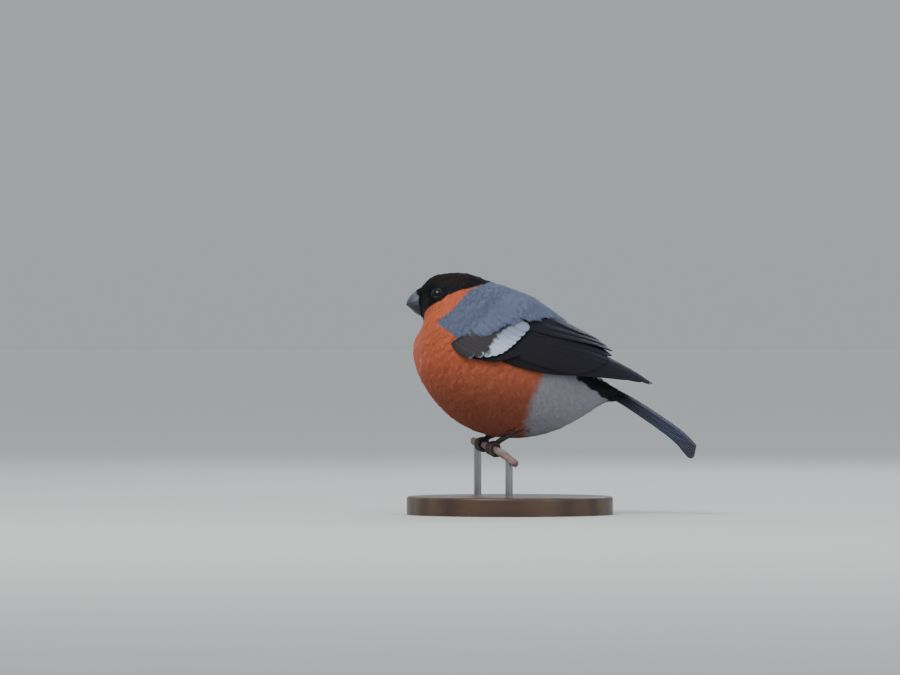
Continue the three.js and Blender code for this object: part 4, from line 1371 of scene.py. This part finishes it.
def toes(side, label):
    """Toes closed round the stem, each with its claw"""
    ring = leg_points(side)[3]
    reach = STEM_RADIUS + TOE_RADIUS * TOE_PRESS
    for k, (start, stop, first, last) in enumerate(TOES):
        turns = np.linspace(0, 1, 22)
        line = np.array([ring(start + (stop - start) * u, reach, first + (last - first) * u)
                         for u in turns])
        bends = 2.5 if k < FRONT_TOES else 1.5
        radii = TOE_RADIUS * np.interp(turns, [0, 0.1, 0.9, 1], [1.1, 1.0, 0.85, 0.75])
        radii = radii * (1 + TOE_KNUCKLE * np.cos(turns * TURN * bends))
        tube(line, radii, 12, f"toe_{label}_{k + 1}", leg_material, rings_per_mm=1.0)
        turn = math.copysign(CLAW_TURN, stop - start)
        turns = np.linspace(CLAW_ROOT, 1, 12)
        line = np.array([ring(stop + turn * u, reach + max(u, 0) * CLAW_LIFT, last) for u in turns])
        radii = CLAW_RADIUS * np.interp(turns, [CLAW_ROOT, 0, 0.6, 1], [1.1, 1.25, 0.8, 0.12])
        tube(line, radii, 10, f"claw_{label}_{k + 1}", claw_material)


# Bark lumps: height, number round the stem, waves per mm; and one knot: height, place, width
BARK_LUMPS = ((0.05, 3, 0.5), (0.04, 2, 1.7))
KNOT = (0.14, 0.72, 0.02)


def stem():
    def lump(angle, length):
        return sum(height * math.sin(number * angle + length * waves)
                   for height, number, waves in BARK_LUMPS)

    points = stem_points[::2]
    radii = np.linspace(1.0, STEM_TAPER, len(points)) * STEM_RADIUS
    swell = KNOT[0] * np.exp(-((np.linspace(0, 1, len(points)) - KNOT[1]) / KNOT[2]) ** 2)
    piece = tube(points, radii * (1 + swell), 24, "cut_stem", bark_material, lump=lump)
    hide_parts("perch")


BASE_RADIUS = 45.0
BASE_HEIGHT = 8.0
BASE_CHAMFER = 1.2


def stand_base():
    """Round base with a bevelled upper rim"""
    bm = bmesh.new()
    bmesh.ops.create_cone(bm, cap_ends=True, segments=128, radius1=BASE_RADIUS * MM,
                          radius2=BASE_RADIUS * MM, depth=BASE_HEIGHT * MM)
    bmesh.ops.translate(bm, verts=bm.verts, vec=(0, 0, BASE_HEIGHT / 2 * MM))
    top = BASE_HEIGHT * 0.9 * MM
    rim = [e for e in bm.edges if e.calc_face_angle(0) > 1 and all(v.co.z > top for v in e.verts)]
    bmesh.ops.bevel(bm, geom=rim, offset=BASE_CHAMFER * MM, affect="EDGES", segments=4, profile=0.5,
                    material=-1)
    piece = from_bmesh("stand_foot", bm, wood_material, smooth=False)
    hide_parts("stand_base")


def stand_rod(label):
    """Round rod in the box of its solid"""
    low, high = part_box(f"stand_rod_{label}")
    radius = (high[0] - low[0]) / 2
    bm = bmesh.new()
    bmesh.ops.create_cone(bm, cap_ends=True, segments=48, radius1=radius, radius2=radius,
                          depth=high[2] - low[2])
    centre = [(low[k] + high[k]) / 2 for k in range(3)]
    bmesh.ops.translate(bm, verts=bm.verts, vec=centre)
    piece = from_bmesh(f"stand_post_{label}", bm, metal_material, smooth=False)
    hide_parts(f"stand_rod_{label}")


# The calls' order sets the order of the random draws
skin()
coat_piece("coat_face", 0.05, 1.6)
bill_fringe()
coat_piece("coat_crown", 1.6, 3.2)
coat_piece("coat_breast", 3.2, 6.0)
coat_piece("coat_belly", 6.0, 9.0)
coat_piece("coat_vent", 9.0, 11.8)
for side, label in SIDES:
    wing(side, label)
tail()
cut_bill(True)
cut_bill(False)
for side, label in SIDES:
    eyeball(side, label)
    lid(side, label)
    eye_ring(side, label)
for side, label in SIDES:
    shank(side, label)
    toes(side, label)
stem()
stand_base()
stand_rod("near")
stand_rod("far")

# Floor, light and camera
FLOOR_RADIUS = 40.0


def lay_floor():
    bm = bmesh.new()
    bmesh.ops.create_circle(bm, cap_ends=True, segments=64, radius=FLOOR_RADIUS)
    mesh = bpy.data.meshes.new("floor")
    bm.to_mesh(mesh)
    bm.free()
    mesh.materials.append(floor_material)
    floor = bpy.data.objects.new("floor", mesh)
    bpy.context.scene.collection.objects.link(floor)


SKY_HEIGHTS = (0.0, 0.35)
SKY_STRENGTH = 0.75


def light_sky():
    """Even sky that is a little darker at the horizon"""
    world = bpy.data.worlds.new("studio")
    world.use_nodes = True
    n = Nodes(world.node_tree)
    height = n.parts(n.add("ShaderNodeTexCoord").outputs["Generated"])[2]
    background = world.node_tree.nodes["Background"]
    colour = n.mix(n.edge(height, *SKY_HEIGHTS), *TONES["sky"])
    world.node_tree.links.new(colour, background.inputs["Color"])
    background.inputs["Strength"].default_value = SKY_STRENGTH
    bpy.context.scene.world = world


# Round soft lights aimed at the bird: place, size, power and colour
LAMPS = {
    "key": ((-0.35, -0.55, 0.95), 0.5, 7.0, (1.0, 0.98, 0.95)),
    "fill": ((0.9, -0.7, 0.5), 0.8, 3.0, (0.9, 0.95, 1.0)),
    "back": ((0.3, 0.9, 0.8), 0.7, 4.0, (0.95, 0.97, 1.0)),
}
LAMP_AIM = (0.0, 0.0, 0.06)


def soft_light(name, place, size, power, colour):
    data = bpy.data.lights.new(name, "AREA")
    data.shape = "DISK"
    data.size = size
    data.energy = power
    data.color = colour
    lamp = bpy.data.objects.new(name, data)
    lamp.location = place
    aim = Vector(LAMP_AIM) - Vector(place)
    lamp.rotation_euler = aim.to_track_quat("-Z", "Y").to_euler()
    bpy.context.scene.collection.objects.link(lamp)


# The photograph is 391.3 mm wide at the bird, and the camera looks level across it
VIEW_CENTRE = (-0.0261, 0.0772)
VIEW_PLANE = -0.01
VIEW_WIDTH = 0.3913
VIEW_DISTANCE = 3.0
SENSOR = 36.0


def place_camera():
    lens = bpy.data.cameras.new("view")
    lens.sensor_width = SENSOR
    lens.lens = SENSOR * VIEW_DISTANCE / VIEW_WIDTH
    lens.clip_start = 0.05
    lens.clip_end = 200.0
    camera = bpy.data.objects.new("view", lens)
    camera.location = (VIEW_CENTRE[0], VIEW_PLANE - VIEW_DISTANCE, VIEW_CENTRE[1])
    camera.rotation_euler = (math.pi / 2, 0, 0)
    bpy.context.scene.collection.objects.link(camera)
    bpy.context.scene.camera = camera


lay_floor()
light_sky()
for name, settings in LAMPS.items():
    soft_light(name, *settings)
place_camera()
